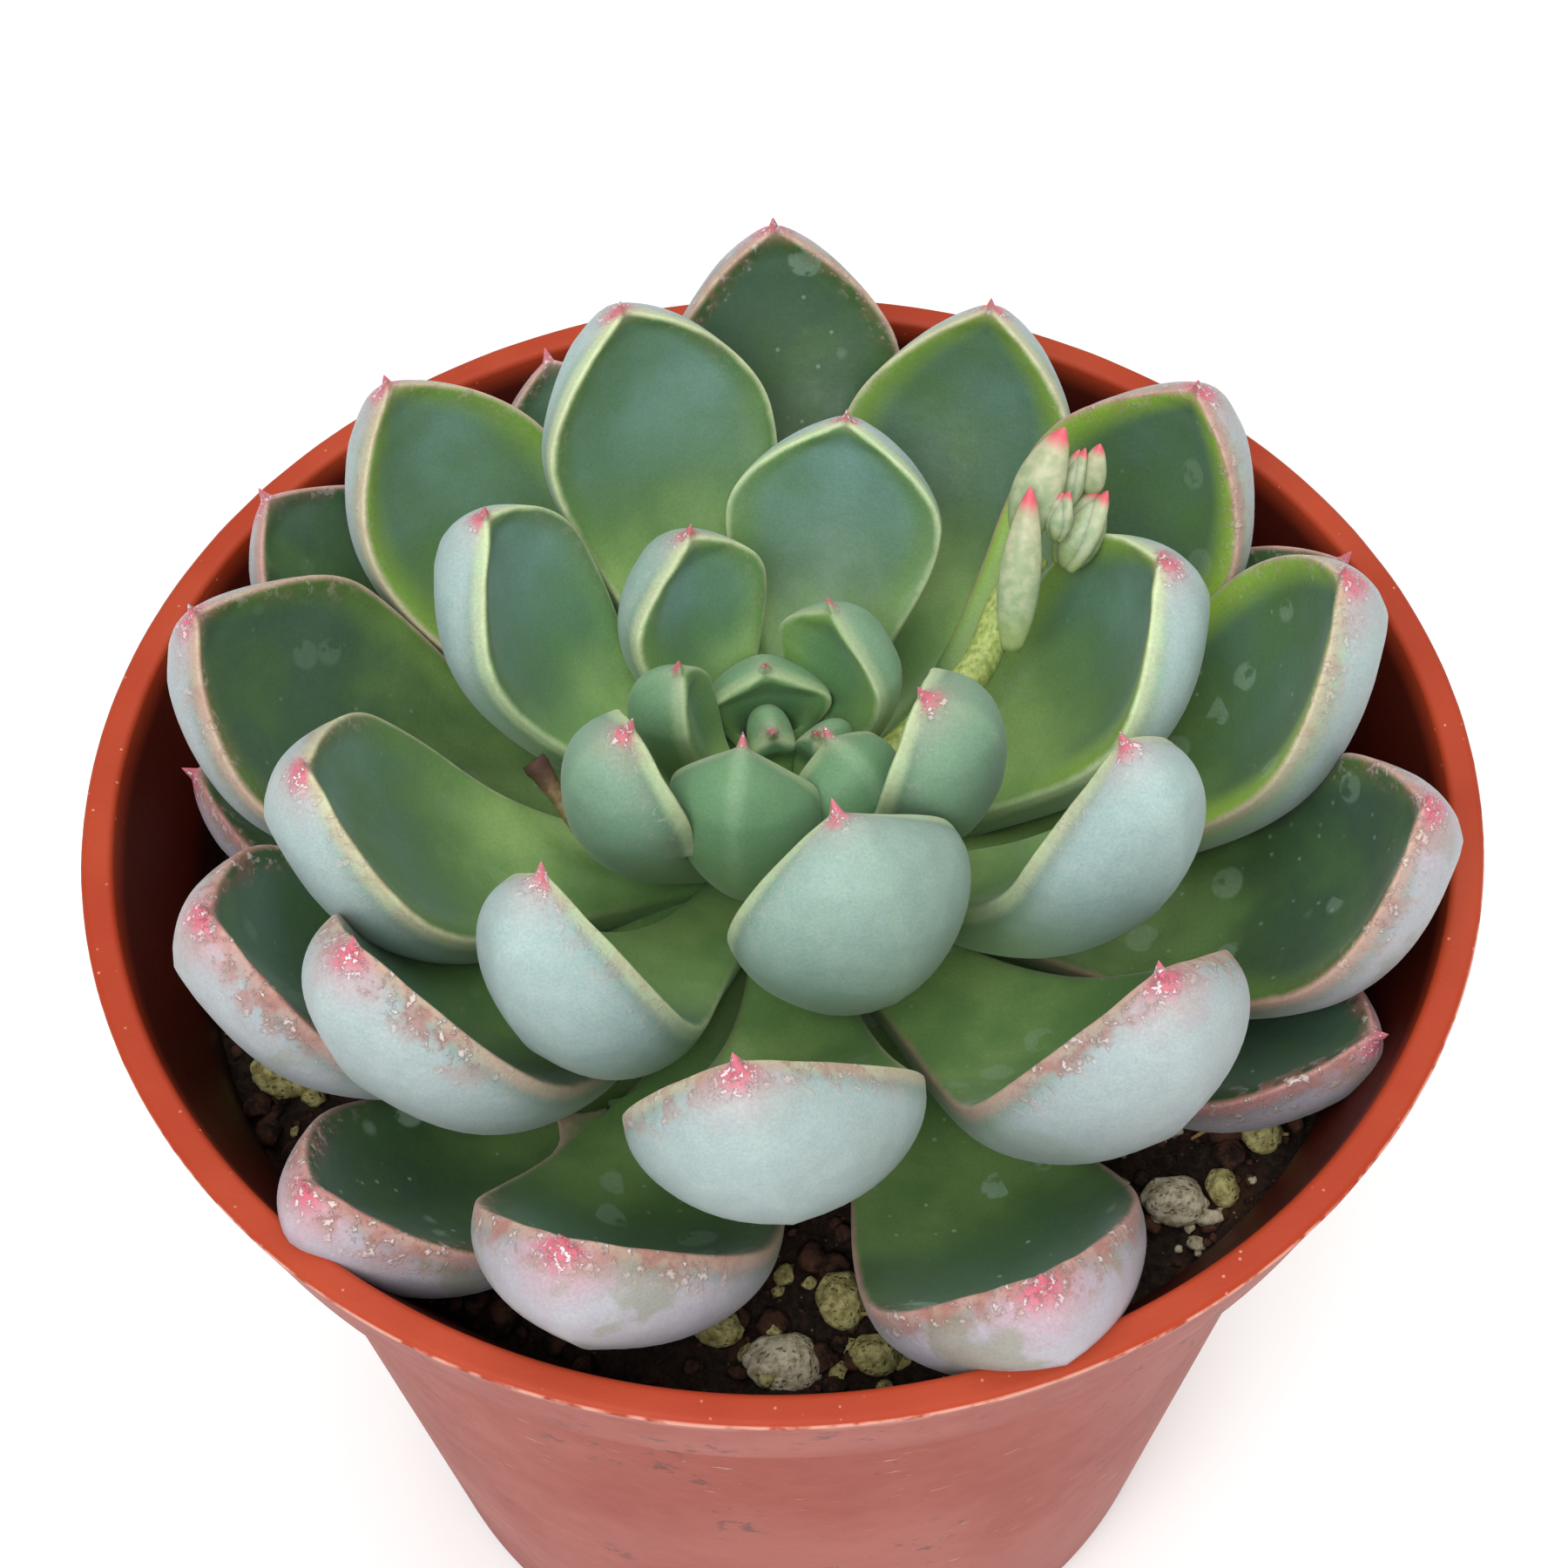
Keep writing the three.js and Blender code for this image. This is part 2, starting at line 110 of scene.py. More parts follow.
COLLAR_FOOT = POT_HEIGHT - COLLAR_HEIGHT
BODY_TOP_RADIUS = RIM_RADIUS - COLLAR_DRAFT - COLLAR_STEP
ROSETTE_REACH = RIM_RADIUS - LIP_WIDTH - WALL_CLEARANCE

# Each leaf's place and shape, as in the CAD source, then its look. Blush turns the rim from
# cream to pink, dark deepens the upper face, partly as painted shade, lime lights a band inside
# the rim, marks leave dried water on the upper face, lilac tints the underside and frost whitens
# the rim with crystals and painted glints.
LEAVES = {
    # azimuth, reach, tip height, width, curl, twist, sway, blush, dark, lime, marks, lilac, frost
    "core_leaf_1": (100, 0.055, 14.8, 2.8, 70, 0, 0, 0.1, 0.5, 0, 0, 0, 0),
    "core_leaf_2": (45, 0.07, 15.2, 2.2, 45, 0, 0, 0.1, 0.4, 0, 0, 0, 0),
    "core_leaf_3": (-48, 0.094, 22, 7.5, 85, 0, 0, 0.1, 0.4, 0, 0, 0, 0),
    "core_leaf_4": (-103, 0.135, 24.6, 9.5, 95, 5, -1, 0.1, 0.4, 0, 0, 0, 0),
    "core_leaf_5": (158, 0.17, 21, 5, 45, 10, -0.5, 0.1, 0.1, 0.2, 0, 0, 0),
    "core_leaf_6": (98, 0.158, 16.8, 8, 70, 0, 0, 0, 0.6, 0.1, 0, 0, 0),
    "core_leaf_7": (50, 0.22, 20, 8.5, 60, -5, 3.5, 0.1, 0.3, 0.3, 0, 0, 0),
    "inner_leaf_1": (-25, 0.24, 29.5, 10.4, 68, 5, -2, 0, 0.2, 0, 0, 0, 0.1),
    "inner_leaf_2": (-146, 0.26, 27.5, 9.8, 70, -10, 0.5, 0, 0.2, 0, 0, 0, 0.2),
    "inner_leaf_3": (122, 0.35, 22.5, 10.5, 65, 10, -2.5, 0.1, 0.1, 0.2, 0, 0, 0.1),
    "inner_leaf_4": (-71, 0.35, 30, 15.5, 120, 15, -2, 0, 0.2, 0, 0, 0, 0.1),
    "inner_leaf_5": (153, 0.53, 26, 14, 80, 10, -2.5, 0, 0.1, 0.1, 0.1, 0, 0.1),
    "inner_leaf_6": (-33, 0.54, 31.5, 12.4, 105, -22, 1, 0.1, 0.2, 0, 0.1, 0, 0.2),
    "inner_leaf_7": (78, 0.56, 23.5, 14.5, 75, 0, 0, 0, 0.2, 0.2, 0, 0, 0),
    "inner_leaf_8": (-117, 0.56, 31.5, 13.2, 108, -22, -3, 0.1, 0.2, 0, 0.1, 0.05, 0.3),
    "middle_leaf_1": (14, 0.61, 25.5, 17, 90, -10, 1.5, 0, 0.4, 0.7, 0.1, 0, 0.1),
    "middle_leaf_2": (108, 0.68, 30, 16.5, 85, 15, 1, 0.1, 0.2, 0.1, 0, 0, 0.1),
    "middle_leaf_3": (-161, 0.71, 28.5, 16.5, 80, -5, 0, 0.3, 0.4, 0.1, 0.1, 0.1, 0.3),
    "middle_leaf_4": (-86, 0.76, 31.5, 17, 105, 5, -5, 0.5, 0.3, 0, 0.3, 0.15, 0.65),
    "middle_leaf_5": (-52, 0.77, 28, 17.5, 120, -5, 1, 0.8, 0.3, 0, 0.5, 0.3, 0.9),
    "middle_leaf_6": (-131, 0.77, 28, 16.5, 105, -5, -4, 0.7, 0.3, 0, 0.3, 0.25, 0.9),
    "middle_leaf_7": (65, 0.86, 24, 16.5, 95, 5, 0, 0.3, 0.55, 0.6, 0, 0.1, 0.1),
    "outer_leaf_1": (5, 0.85, 27, 17.5, 100, -5, 1.5, 0.5, 0.5, 1, 0.5, 0.2, 0.4),
    "outer_leaf_2": (39, 0.86, 26, 17.5, 100, 5, -0.5, 0.8, 0.6, 1, 0.3, 0.4, 0.4),
    "outer_leaf_3": (-150, 0.9, 23, 17.5, 95, -10, -3.5, 0.9, 0.5, 0, 0.3, 0.5, 1),
    "outer_leaf_4": (88, 0.92, 26.5, 17.5, 90, 10, 1, 0.7, 0.85, 0.1, 0.6, 0.4, 0.4),
    "outer_leaf_5": (171, 0.89, 25, 18.5, 80, -10, 0.5, 0.7, 0.9, 0.2, 0.2, 0.4, 0.4),
    "outer_leaf_6": (135, 0.87, 25, 17, 80, 5, 0.5, 0.5, 0.2, 0.5, 0, 0.3, 0.2),
    "outer_leaf_7": (-104, 0.95, 22.5, 17, 105, 0, -3, 0.8, 0.5, 0, 0.5, 0.8, 1),
    "outer_leaf_8": (-15, 0.96, 24, 17.5, 100, 10, -0.5, 0.8, 1, 0.2, 0.4, 0.6, 0.6),
    "outer_leaf_9": (148, 0.99, 18, 17, 65, -5, 0, 0.9, 1, 0, 0.1, 0.5, 0.2),
    "outer_leaf_10": (21, 0.99, 17, 15, 65, 0, 0, 0.9, 0.9, 0, 0.1, 0.6, 0.3),
    "outer_leaf_11": (114, 0.97, 16, 15, 65, 0, 0, 0.8, 0.7, 0, 0.1, 0.6, 0.3),
    "outer_leaf_12": (174, 0.96, 10, 15, 50, 0, 0, 1, 0.7, 0, 0.1, 0.9, 0.5),
    "outer_leaf_13": (-30, 1, 12, 15, 65, 0, 1, 1, 1, 0, 0.5, 0.9, 0.8),
    "outer_leaf_14": (-66, 1, 20.5, 17.5, 110, 0, -4, 0.9, 0.6, 0, 1, 0.9, 1),
    "outer_leaf_15": (-126, 1, 17.5, 15, 100, -10, -4, 0.9, 0.8, 0, 1, 0.9, 1),
}
LOOKS = ("blush", "dark", "lime", "marks", "lilac", "frost")

STALK_PATH = [(3, 1.5, 8), (9, 4, 12), (12.9, 6.5, 15.5), (15, 10, 18.5), (17, 12.4, 20)]
STALK_RADIUS = 1.1
STUB_PATH = [(-4, -1.5, 5.5), (-8.5, -3, 9.5), (-12.5, -3.2, 12), (-15.9, 0.2, 15)]
STUB_RADIUS = 0.85
BUDS = {
    "bract_low": ((15.2, 6.9, 17), (16.4, 13, 26), 2.7),
    "bract_high": ((16, 13, 21), (18.7, 16.4, 27.8), 3.4),
    "bract_side": ((20.6, 15.2, 22.6), (21, 15.8, 26.8), 1.8),
    "bud_right": ((19, 12.2, 19), (21.5, 14.9, 23.6), 3.4),
    "bud_top": ((18.9, 14.4, 22.4), (20, 16, 26.4), 1.9),
    "bud_left": ((18.2, 12.2, 21.8), (18.8, 13.4, 25.2), 1.9),
}


# ------------------------ meshes

def piece(name, points, faces, material, replaces=(), slot=None, attributes=None):
    """Makes a smooth piece from points in millimetres, and rides it on the frame."""
    data = bpy.data.meshes.new(name)
    data.from_pydata((np.asarray(points, float) * MM).tolist(), [], faces)
    data.validate()
    for key, values in (attributes or {}).items():
        layer = data.attributes.new(key, "FLOAT", "POINT")
        layer.data.foreach_set("value", np.asarray(values, np.float32))
    data.polygons.foreach_set("use_smooth", [True] * len(data.polygons))
    data.materials.append(material)
    thing = bpy.data.objects.new(name, data)
    bpy.context.scene.collection.objects.link(thing)
    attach(thing, "root")
    if replaces:
        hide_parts(*replaces)
    return thing


def unit(vector):
    return vector / np.linalg.norm(vector)


def ring_faces(rings, sides):
    """Quads between successive closed rings of points."""
    faces = []
    for ring in range(rings - 1):
        for side in range(sides):
            a = ring * sides + side
            b = ring * sides + (side + 1) % sides
            faces.append((a, b, b + sides, a + sides))
    return faces


def capped_rings(rings, sides):
    """Faces of a closed body of rings, with two more points that close its start and end."""
    start, end = rings * sides, rings * sides + 1
    last = (rings - 1) * sides
    faces = ring_faces(rings, sides)
    for side in range(sides):
        after = (side + 1) % sides
        faces.append((start, after, side))
        faces.append((end, last + side, last + after))
    return faces


def smoothstep(low, high, value):
    """0 at low and 1 at high, with a smooth turn at each. Low may be the larger."""
    share = np.clip((np.asarray(value, float) - low) / (high - low), 0, 1)
    return share * share * (3 - 2 * share)


def ripple(points, size, seed=0.0):
    """Smooth noise from -1 to 1 at points in millimetres, with features of a given size."""
    shift = Vector((seed, -seed, 2 * seed))
    return np.array([noise.noise(Vector(p) / size + shift) for p in points])


def wander(points, size, seeds):
    """Smooth noise as a vector at each point, with a seed for each axis."""
    return np.stack([ripple(points, size, seed) for seed in seeds], axis=-1)


def smooth_path(path, count):
    """A Catmull-Rom curve through a path's points, as evenly numbered points."""
    p = np.array([2 * np.array(path[0]) - path[1], *path, 2 * np.array(path[-1]) - path[-2]], float)
    out = []
    for at in np.linspace(0, len(path) - 1, count):
        i = min(int(at), len(path) - 2)
        t = at - i
        a, b, c, d = p[i], p[i + 1], p[i + 2], p[i + 3]
        out.append(0.5 * (2 * b + (c - a) * t + (2 * a - 5 * b + 4 * c - d) * t**2
                          + (3 * b - a - 3 * c + d) * t**3))
    return np.array(out)


def tube(path, radii, sides):
    """Points and faces of a closed tube along a path, with a radius at each of its points."""
    path = np.asarray(path, float)
    along = np.gradient(path, axis=0)
    along /= np.linalg.norm(along, axis=1)[:, None]
    reference = np.array([0.0, 0.0, 1.0]) if abs(along[0][2]) < 0.9 else np.array([1.0, 0.0, 0.0])
    points = []
    for place, direction, radius in zip(path, along, radii):
        side = unit(np.cross(direction, reference))
        reference = np.cross(side, direction)
        for angle in np.linspace(0, 2 * math.pi, sides, endpoint=False):
            points.append(place + radius * (math.cos(angle) * side + math.sin(angle) * reference))
    points += [path[0], path[-1]]
    return np.array(points), capped_rings(len(path), sides)


def lump(centre, size, seed, detail, roughness, grain):
    """A stone-like body: an ellipsoid whose surface is pushed in and out by noise."""
    ball = bmesh.new()
    bmesh.ops.create_icosphere(ball, subdivisions=detail, radius=0.5)
    points = np.array([v.co for v in ball.verts])
    faces = [tuple(v.index for v in f.verts) for f in ball.faces]
    ball.free()
    dents = ripple(points, grain, seed) + 0.4 * ripple(points, grain / 3, seed)
    bulge = 1 + roughness * dents
    turn = Matrix.Rotation(seed * 2.4, 3, "Z")
    points = (points * bulge[:, None] * np.array(size)) @ np.array(turn).T
    return points + np.array(centre), faces


def merged(parts):
    """One set of points and faces from several."""
    points, faces, offset = [], [], 0
    for some_points, some_faces in parts:
        points.append(some_points)
        faces += [tuple(i + offset for i in face) for face in some_faces]
        offset += len(some_points)
    return np.concatenate(points), faces


# ------------------------ shader building

def colour(red, green, blue):
    """A display colour from 0 to 255 as the shader's linear colour."""
    def linear(value):
        value /= 255
        return value / 12.92 if value <= 0.04045 else ((value + 0.055) / 1.055) ** 2.4
    return linear(red), linear(green), linear(blue), 1.0


class Look:
    """A node material being built. Values that vary are sockets; the rest are plain numbers."""

    def __init__(self, name, **settings):
        self.material = bpy.data.materials.new(name)
        self.material.use_nodes = True
        self.tree = self.material.node_tree
        self.shader = self.tree.nodes["Principled BSDF"]
        self.place = self.node("ShaderNodeTexCoord").outputs["Object"]
        for key, value in settings.items():
            self.put(self.shader, key.replace("_", " "), value)

    def node(self, kind, inputs=None, **settings):
        made = self.tree.nodes.new(kind)
        for key, value in settings.items():
            setattr(made, key, value)
        for key, value in (inputs or {}).items():
            self.put(made, key, value)
        return made

    def put(self, made, key, value):
        if isinstance(value, bpy.types.NodeSocket):
            self.tree.links.new(value, made.inputs[key])
        else:
            made.inputs[key].default_value = value

    def of(self, attribute):
        return self.node("ShaderNodeAttribute", attribute_name=attribute).outputs["Fac"]

    def noise(self, size, detail=3.0, roughness=0.5, stretch=None):
        """Noise from 0 to 1, with features of a size in millimetres."""
        place = self.place
        if stretch:
            stretched = self.node("ShaderNodeVectorMath", {0: place, 1: stretch}, operation="MULTIPLY")
            place = stretched.outputs[0]
        return self.node("ShaderNodeTexNoise", {
            "Vector": place, "Scale": 1 / (size * MM), "Detail": detail, "Roughness": roughness,
        }).outputs["Fac"]

    def cells(self, size, output="Distance", **settings):
        """Voronoi cells of a size in millimetres: the distance from a cell's middle, or its colour."""
        return self.node("ShaderNodeTexVoronoi", {
            "Vector": self.place, "Scale": 1 / (size * MM)}, **settings).outputs[output]

    def step(self, value, low, high):
        """0 below low and 1 above high, or the other way round where low is the larger."""
        if low > high:
            return self.sub(1.0, self.step(value, high, low))
        ramp = {"Value": value, "From Min": low, "From Max": high}
        return self.node("ShaderNodeMapRange", ramp, interpolation_type="SMOOTHSTEP").outputs[0]

    def math(self, operation, a, b):
        return self.node("ShaderNodeMath", {0: a, 1: b}, operation=operation).outputs[0]

    def sum(self, a, b):
        return self.math("ADD", a, b)

    def sub(self, a, b):
        return self.math("SUBTRACT", a, b)

    def times(self, *values):
        product = values[0]
        for value in values[1:]:
            product = self.math("MULTIPLY", product, value)
        return product

    def mix(self, share, a, b, blend="MIX"):
        mixed = self.node("ShaderNodeMix", {0: share, 6: a, 7: b}, data_type="RGBA", blend_type=blend)
        return mixed.outputs[2]

    def paint(self, skin, rgb, *shares):
        """A skin with a display colour laid over it, as strongly as the shares' product."""
        return self.mix(self.times(*shares), skin, colour(*rgb))

    def bump(self, height, depth, strength=1.0, below=None):
        """A bump of a depth in millimetres, on top of the bump below it."""
        inputs = {"Height": height, "Distance": depth * MM, "Strength": strength}
        if below is not None:
            inputs["Normal"] = below
        return self.node("ShaderNodeBump", inputs).outputs["Normal"]

    def finish(self, base_colour, roughness=None, normal=None):
        self.put(self.shader, "Base Color", base_colour)
        if roughness is not None:
            self.put(self.shader, "Roughness", roughness)
        if normal is not None:
            self.put(self.shader, "Normal", normal)
        return self.material


# ------------------------ materials

def leaf_look(name, green, wax_and_reflection_colour, rim_strength, lit_reach):
    """Waxy succulent skin, with a green, a colour for its wax bloom and painted sky reflection, how
    strongly the rim shows, and how far along the leaf its yellower base, brightened as a painted
    glow, reaches. It reads each leaf's own attributes for where a point lies on the leaf (rim_mm,
    tip_mm, middle_mm, along, under) and for the leaf's age, weathering and painted shade."""
    look = Look(name, Subsurface_Weight=0.25, Subsurface_Scale=1.5 * MM,
                Subsurface_Radius=(0.8, 1.0, 0.35), Specular_IOR_Level=0.4,
                Sheen_Weight=0.12, Sheen_Roughness=0.45)
    rim, tip, along, below = look.of("rim_mm"), look.of("tip_mm"), look.of("along"), look.of("under")
    dark, frost, lilac, bloom = look.of("dark"), look.of("frost"), look.of("lilac"), look.of("bloom")
    broad, fine, grain = look.noise(7), look.noise(1.4, 4), look.noise(0.2, 3, 0.75)

    # Upper face: green, deeper where the leaf is dark, partly as painted shade on leaves that lie in
    # shadow; bluish past its middle, with wax bloom and a painted sky reflection; yellower at its
    # base, brightened there as a painted glow in the shaded heart.
    upper = look.paint(colour(*green), (26, 48, 20), dark, 0.9)
    upper = look.paint(upper, (90, 128, 66), look.step(broad, 0.4, 0.7), 0.35)
    # Wax bloom past the middle, with a painted sky reflection laid into its colour.
    wax_and_painted_reflection = look.times(look.step(along, 0.52, 0.84), look.step(rim, 0.6, 2.6),
                     look.step(broad, 0.85, 0.25))
    wax_and_painted_reflection = look.times(wax_and_painted_reflection, look.sub(1.0, look.times(dark, 0.75)))
    upper = look.paint(upper, wax_and_reflection_colour, wax_and_painted_reflection, 0.85)
    # The yellower base, brightened as a painted glow where the heart of the rosette lies in shade.
    base_tint_and_painted_glow = look.mix(look.step(broad, 0.35, 0.65), colour(118, 156, 88), colour(150, 180, 106))
    lit = look.times(look.step(along, lit_reach, lit_reach / 2), look.sub(0.9, look.times(dark, 0.55)))
    upper = look.mix(lit, upper, base_tint_and_painted_glow)

    # A translucent lime band just inside the rim.
    band = look.times(look.step(rim, 0.3, 0.8), look.step(rim, 3.4, 1.0), look.step(along, 0.3, 0.6))
    upper = look.paint(upper, (142, 176, 62), band, look.of("lime"), 0.8)

    # Dried water: a few pale, clear-edged patches and drops.
    patch = look.node("ShaderNodeSeparateColor", {0: look.cells(2.6, "Color", feature="F1")}).outputs[0]
    wet = look.times(look.step(patch, 0.84, 0.87), look.step(look.cells(2.6), 0.5, 0.4),
                     look.step(fine, 0.36, 0.44), look.of("marks"))
    upper = look.paint(upper, (160, 184, 164), wet, 0.45)
    specks = look.times(look.step(look.cells(1.5), 0.14, 0.05), look.of("marks"))
    upper = look.paint(upper, (190, 202, 186), specks, 0.45)

    # Underside: green at the heart, silvery with bloom further out, lilac on old leaves, green
    # at its base, with brownish stains where it is lilac.
    lower = look.mix(bloom, colour(100, 138, 98), colour(152, 174, 170))
    keel = look.step(look.of("middle_mm"), 0.9, 0.1)
    lower = look.paint(lower, (140, 170, 134), keel, look.sub(1.0, bloom), 0.3)
    lower = look.paint(lower, (172, 150, 166), lilac, 0.75)
    lower = look.paint(lower, (204, 212, 208), look.step(fine, 0.35, 0.7), bloom, 0.12)
    lower = look.paint(lower, (116, 148, 88), look.step(along, 0.8, 0.4), 0.85)
    stain = look.step(look.sum(broad, look.times(fine, 0.3)), 0.7, 0.8)
    lower = look.paint(lower, (122, 124, 86), stain, lilac, 0.6)
    skin = look.mix(below, upper, lower)

    # Rim: a thin pale edge, pink where the leaf blushes.
    ragged = look.sum(rim, look.times(fine, 0.4))
    edge = look.times(look.step(ragged, 1.1, 0.4), look.step(along, 0.15, 0.45))
    rim_colour = look.mix(look.of("blush"), colour(204, 218, 170), colour(190, 134, 132))
    edge_strength = look.times(edge, look.sub(1.0, look.times(below, 0.75)))
    skin = look.mix(look.times(edge_strength, rim_strength), skin, rim_colour)

    # Weathered rims: brownish-pink crust, and white crystals with painted glints where frost is strong.
    uneven = look.sum(rim, look.times(broad, 2.6))
    near = look.times(look.step(uneven, 3.8, 1.6), look.step(tip, 15.0, 8.0))
    crust = look.times(near, frost, look.step(fine, 0.42, 0.58))
    skin = look.paint(skin, (160, 106, 96), crust, 0.8)
    crystals_and_glints = look.times(near, frost, look.step(look.noise(0.7, 5, 0.65), 0.54, 0.63))
    skin = look.paint(skin, (226, 214, 208), crystals_and_glints, 0.75)

    # Tip: a small red point, a faint flush below it, and white crystals on it, painted as glints.
    size = look.times(look.of("tip_size"), look.sum(0.5, look.times(below, 0.5)))
    far = look.math("DIVIDE", tip, size)
    flush = look.times(look.step(look.sum(far, look.times(fine, 2.0)), 4.0, 1.6),
                       look.sum(look.times(frost, 0.5), 0.2))
    skin = look.paint(skin, (206, 128, 138), flush, 0.6)
    red = look.step(look.sum(far, look.times(fine, 1.2)), 2.0, 1.2)
    skin = look.paint(skin, (204, 88, 110), red, 0.85)
    tip_crystals_and_glints = look.times(look.step(far, 1.7, 0.8), look.step(look.noise(0.4, 4, 0.7), 0.52, 0.6))
    skin = look.paint(skin, (244, 222, 226), tip_crystals_and_glints, 0.8)

    # Fine speckles all over, a satin gloss, and relief from grain to crystals.
    speckle = look.node("ShaderNodeValToRGB", {0: grain}).outputs[0]
    skin = look.mix(0.3, skin, speckle, "OVERLAY")
    rough = look.sum(0.42, look.times(below, 0.1))
    rough = look.sum(rough, look.times(look.step(fine, 0.3, 0.7), 0.1))
    rough = look.sub(rough, look.times(crystals_and_glints, 0.2))
    relief = look.bump(grain, 0.012)
    relief = look.bump(look.noise(2.2, 3), 0.08, below=relief)
    relief = look.bump(look.sum(crystals_and_glints, tip_crystals_and_glints), 0.14, below=relief)
    return look.finish(skin, rough, relief)


def pot_look():
    """Moulded terracotta-coloured plastic: clean on the lip, dusty and scuffed outside."""
    look = Look("pot_plastic", Specular_IOR_Level=0.18)
    outside, inside, below_rim = look.of("outside"), look.of("inside"), look.of("below_rim")
    broad, fine, grain = look.noise(14), look.noise(2.2, 4), look.noise(0.3, 2)
    orange = look.mix(look.step(broad, 0.35, 0.65), colour(160, 54, 28), colour(168, 64, 36))
    speck = look.step(look.cells(0.9), 0.14, 0.06)
    orange = look.paint(orange, (228, 160, 136), speck, look.step(fine, 0.5, 0.6), 0.6)

    dust = look.mix(look.step(look.noise(22, 2), 0.4, 0.62), colour(132, 60, 50), colour(152, 90, 82))
    wall = look.mix(look.times(outside, look.sum(0.45, look.times(fine, 0.4))), orange, dust)

    # Outside: pale scratches that run round the pot, and dark smudges.
    scratch = look.times(look.step(look.noise(3.0, 5, 0.6, (1, 1, 9)), 0.64, 0.69), outside,
                         look.step(broad, 0.5, 0.62))
    wall = look.paint(wall, (222, 186, 178), scratch, 0.6)
    smudge = look.times(look.step(look.noise(1.9, 5, 0.7), 0.56, 0.64), outside,
                        look.step(look.noise(11, 1), 0.52, 0.62))
    wall = look.paint(wall, (84, 44, 38), smudge, 0.7)

    # Inside: shaded, with grime from the soil. On the lip's edge: a pale line of moulding flash.
    shade = look.paint(wall, (52, 10, 4), inside, look.step(below_rim, 0.1, 2.0), 0.95)
    grime = look.times(inside, look.step(look.sum(below_rim, look.times(fine, 4.0)), 10.0, 14.0))
    shade = look.paint(shade, (52, 32, 22), grime, 0.8)
    flash = look.times(look.of("flash"), look.step(look.noise(1.5, 3), 0.35, 0.55))
    shade = look.paint(shade, (228, 168, 148), flash, 0.8)

    rough = look.sum(0.42, look.times(fine, 0.16))
    relief = look.bump(grain, 0.02)
    relief = look.bump(fine, 0.05, below=relief)
    relief = look.bump(look.times(scratch, -1.0), 0.08, below=relief)
    return look.finish(shade, rough, relief)


def soil_look():
    look = Look("peat", Specular_IOR_Level=0.25, Roughness=0.9)
    fine, clump = look.noise(0.5, 5, 0.7), look.noise(3.0, 3)
    earth = look.mix(look.step(fine, 0.3, 0.7), colour(17, 12, 9), colour(58, 41, 30))
    earth = look.paint(earth, (84, 50, 36), look.step(clump, 0.55, 0.7), 0.5)
    fleck = look.step(look.cells(0.8), 0.13, 0.05)
    earth = look.paint(earth, (158, 134, 98), fleck, look.step(clump, 0.45, 0.6))
    return look.finish(earth, normal=look.bump(fine, 0.35))


def crumb_look():
    look = Look("crumbs", Specular_IOR_Level=0.25, Roughness=0.88)
    fine, clump = look.noise(0.35, 4, 0.7), look.noise(1.6, 2)
    earth = look.mix(look.step(clump, 0.35, 0.62), colour(24, 16, 12), colour(82, 50, 37))
    earth = look.paint(earth, (112, 80, 58), look.step(fine, 0.5, 0.7), 0.5)
    return look.finish(earth, normal=look.bump(fine, 0.2))


def pumice_look(name, body, pit):
    """Chalky stone of a body colour, with pores of a darker pit colour."""
    body, pit = colour(*body), colour(*pit)
    look = Look(name, Specular_IOR_Level=0.3, Roughness=0.85)
    fine, pores = look.noise(0.6, 5, 0.7), look.cells(0.42)
    stone = look.mix(look.step(fine, 0.35, 0.65), pit, body)
    stone = look.mix(look.times(look.step(pores, 0.28, 0.12), 0.6), stone, pit)
    relief = look.bump(look.step(pores, 0.1, 0.4), 0.12)
    return look.finish(stone, normal=look.bump(fine, 0.12, below=relief))


def straw_look():
    look = Look("straw", Specular_IOR_Level=0.35, Roughness=0.6)
    strand = look.noise(0.5, 4, 0.6)
    fibre = look.mix(strand, colour(118, 90, 48), colour(186, 156, 96))
    return look.finish(fibre, normal=look.bump(strand, 0.06))


def bract_look():
    """Plump pale green skin, warmer towards the tip, with a pink point."""
    look = Look("bract_skin", Subsurface_Weight=0.3, Subsurface_Scale=1.2 * MM,
                Subsurface_Radius=(1.0, 1.0, 0.5), Specular_IOR_Level=0.4, Roughness=0.46)
    along, fine = look.of("along"), look.noise(0.8, 4)
    skin = look.mix(look.step(fine, 0.35, 0.65), colour(150, 172, 130), colour(182, 190, 154))
    skin = look.paint(skin, (158, 178, 92), look.step(along, 0.35, 0.0), 0.6)
    warm = look.times(look.step(along, 0.25, 0.9), look.of("blush"), 0.25)
    skin = look.paint(skin, (206, 166, 146), warm)
    point = look.step(look.sum(along, look.times(fine, 0.1)), 0.86, 0.99)
    skin = look.paint(skin, (212, 72, 98), point, 0.9)
    return look.finish(skin, normal=look.bump(look.noise(0.3, 3), 0.02))


def stem_look(name, light, dark):
    look = Look(name, Subsurface_Weight=0.15, Subsurface_Scale=1.2 * MM,
                Specular_IOR_Level=0.35, Roughness=0.55)
    fibre = look.noise(1.0, 4, 0.6, (3, 3, 1))
    skin = look.mix(look.step(fibre, 0.3, 0.7), colour(*dark), colour(*light))
    return look.finish(skin, normal=look.bump(fibre, 0.08))


def stub_look():
    look = Look("old_stalk_skin", Specular_IOR_Level=0.3, Roughness=0.7)
    fibre, along = look.noise(0.9, 4, 0.6), look.of("along")
    skin = look.mix(look.step(fibre, 0.35, 0.65), colour(92, 78, 48), colour(134, 112, 74))
    skin = look.paint(skin, (70, 48, 38), look.step(along, 0.8, 0.97))
    return look.finish(skin, normal=look.bump(fibre, 0.12))


# ------------------------ leaves

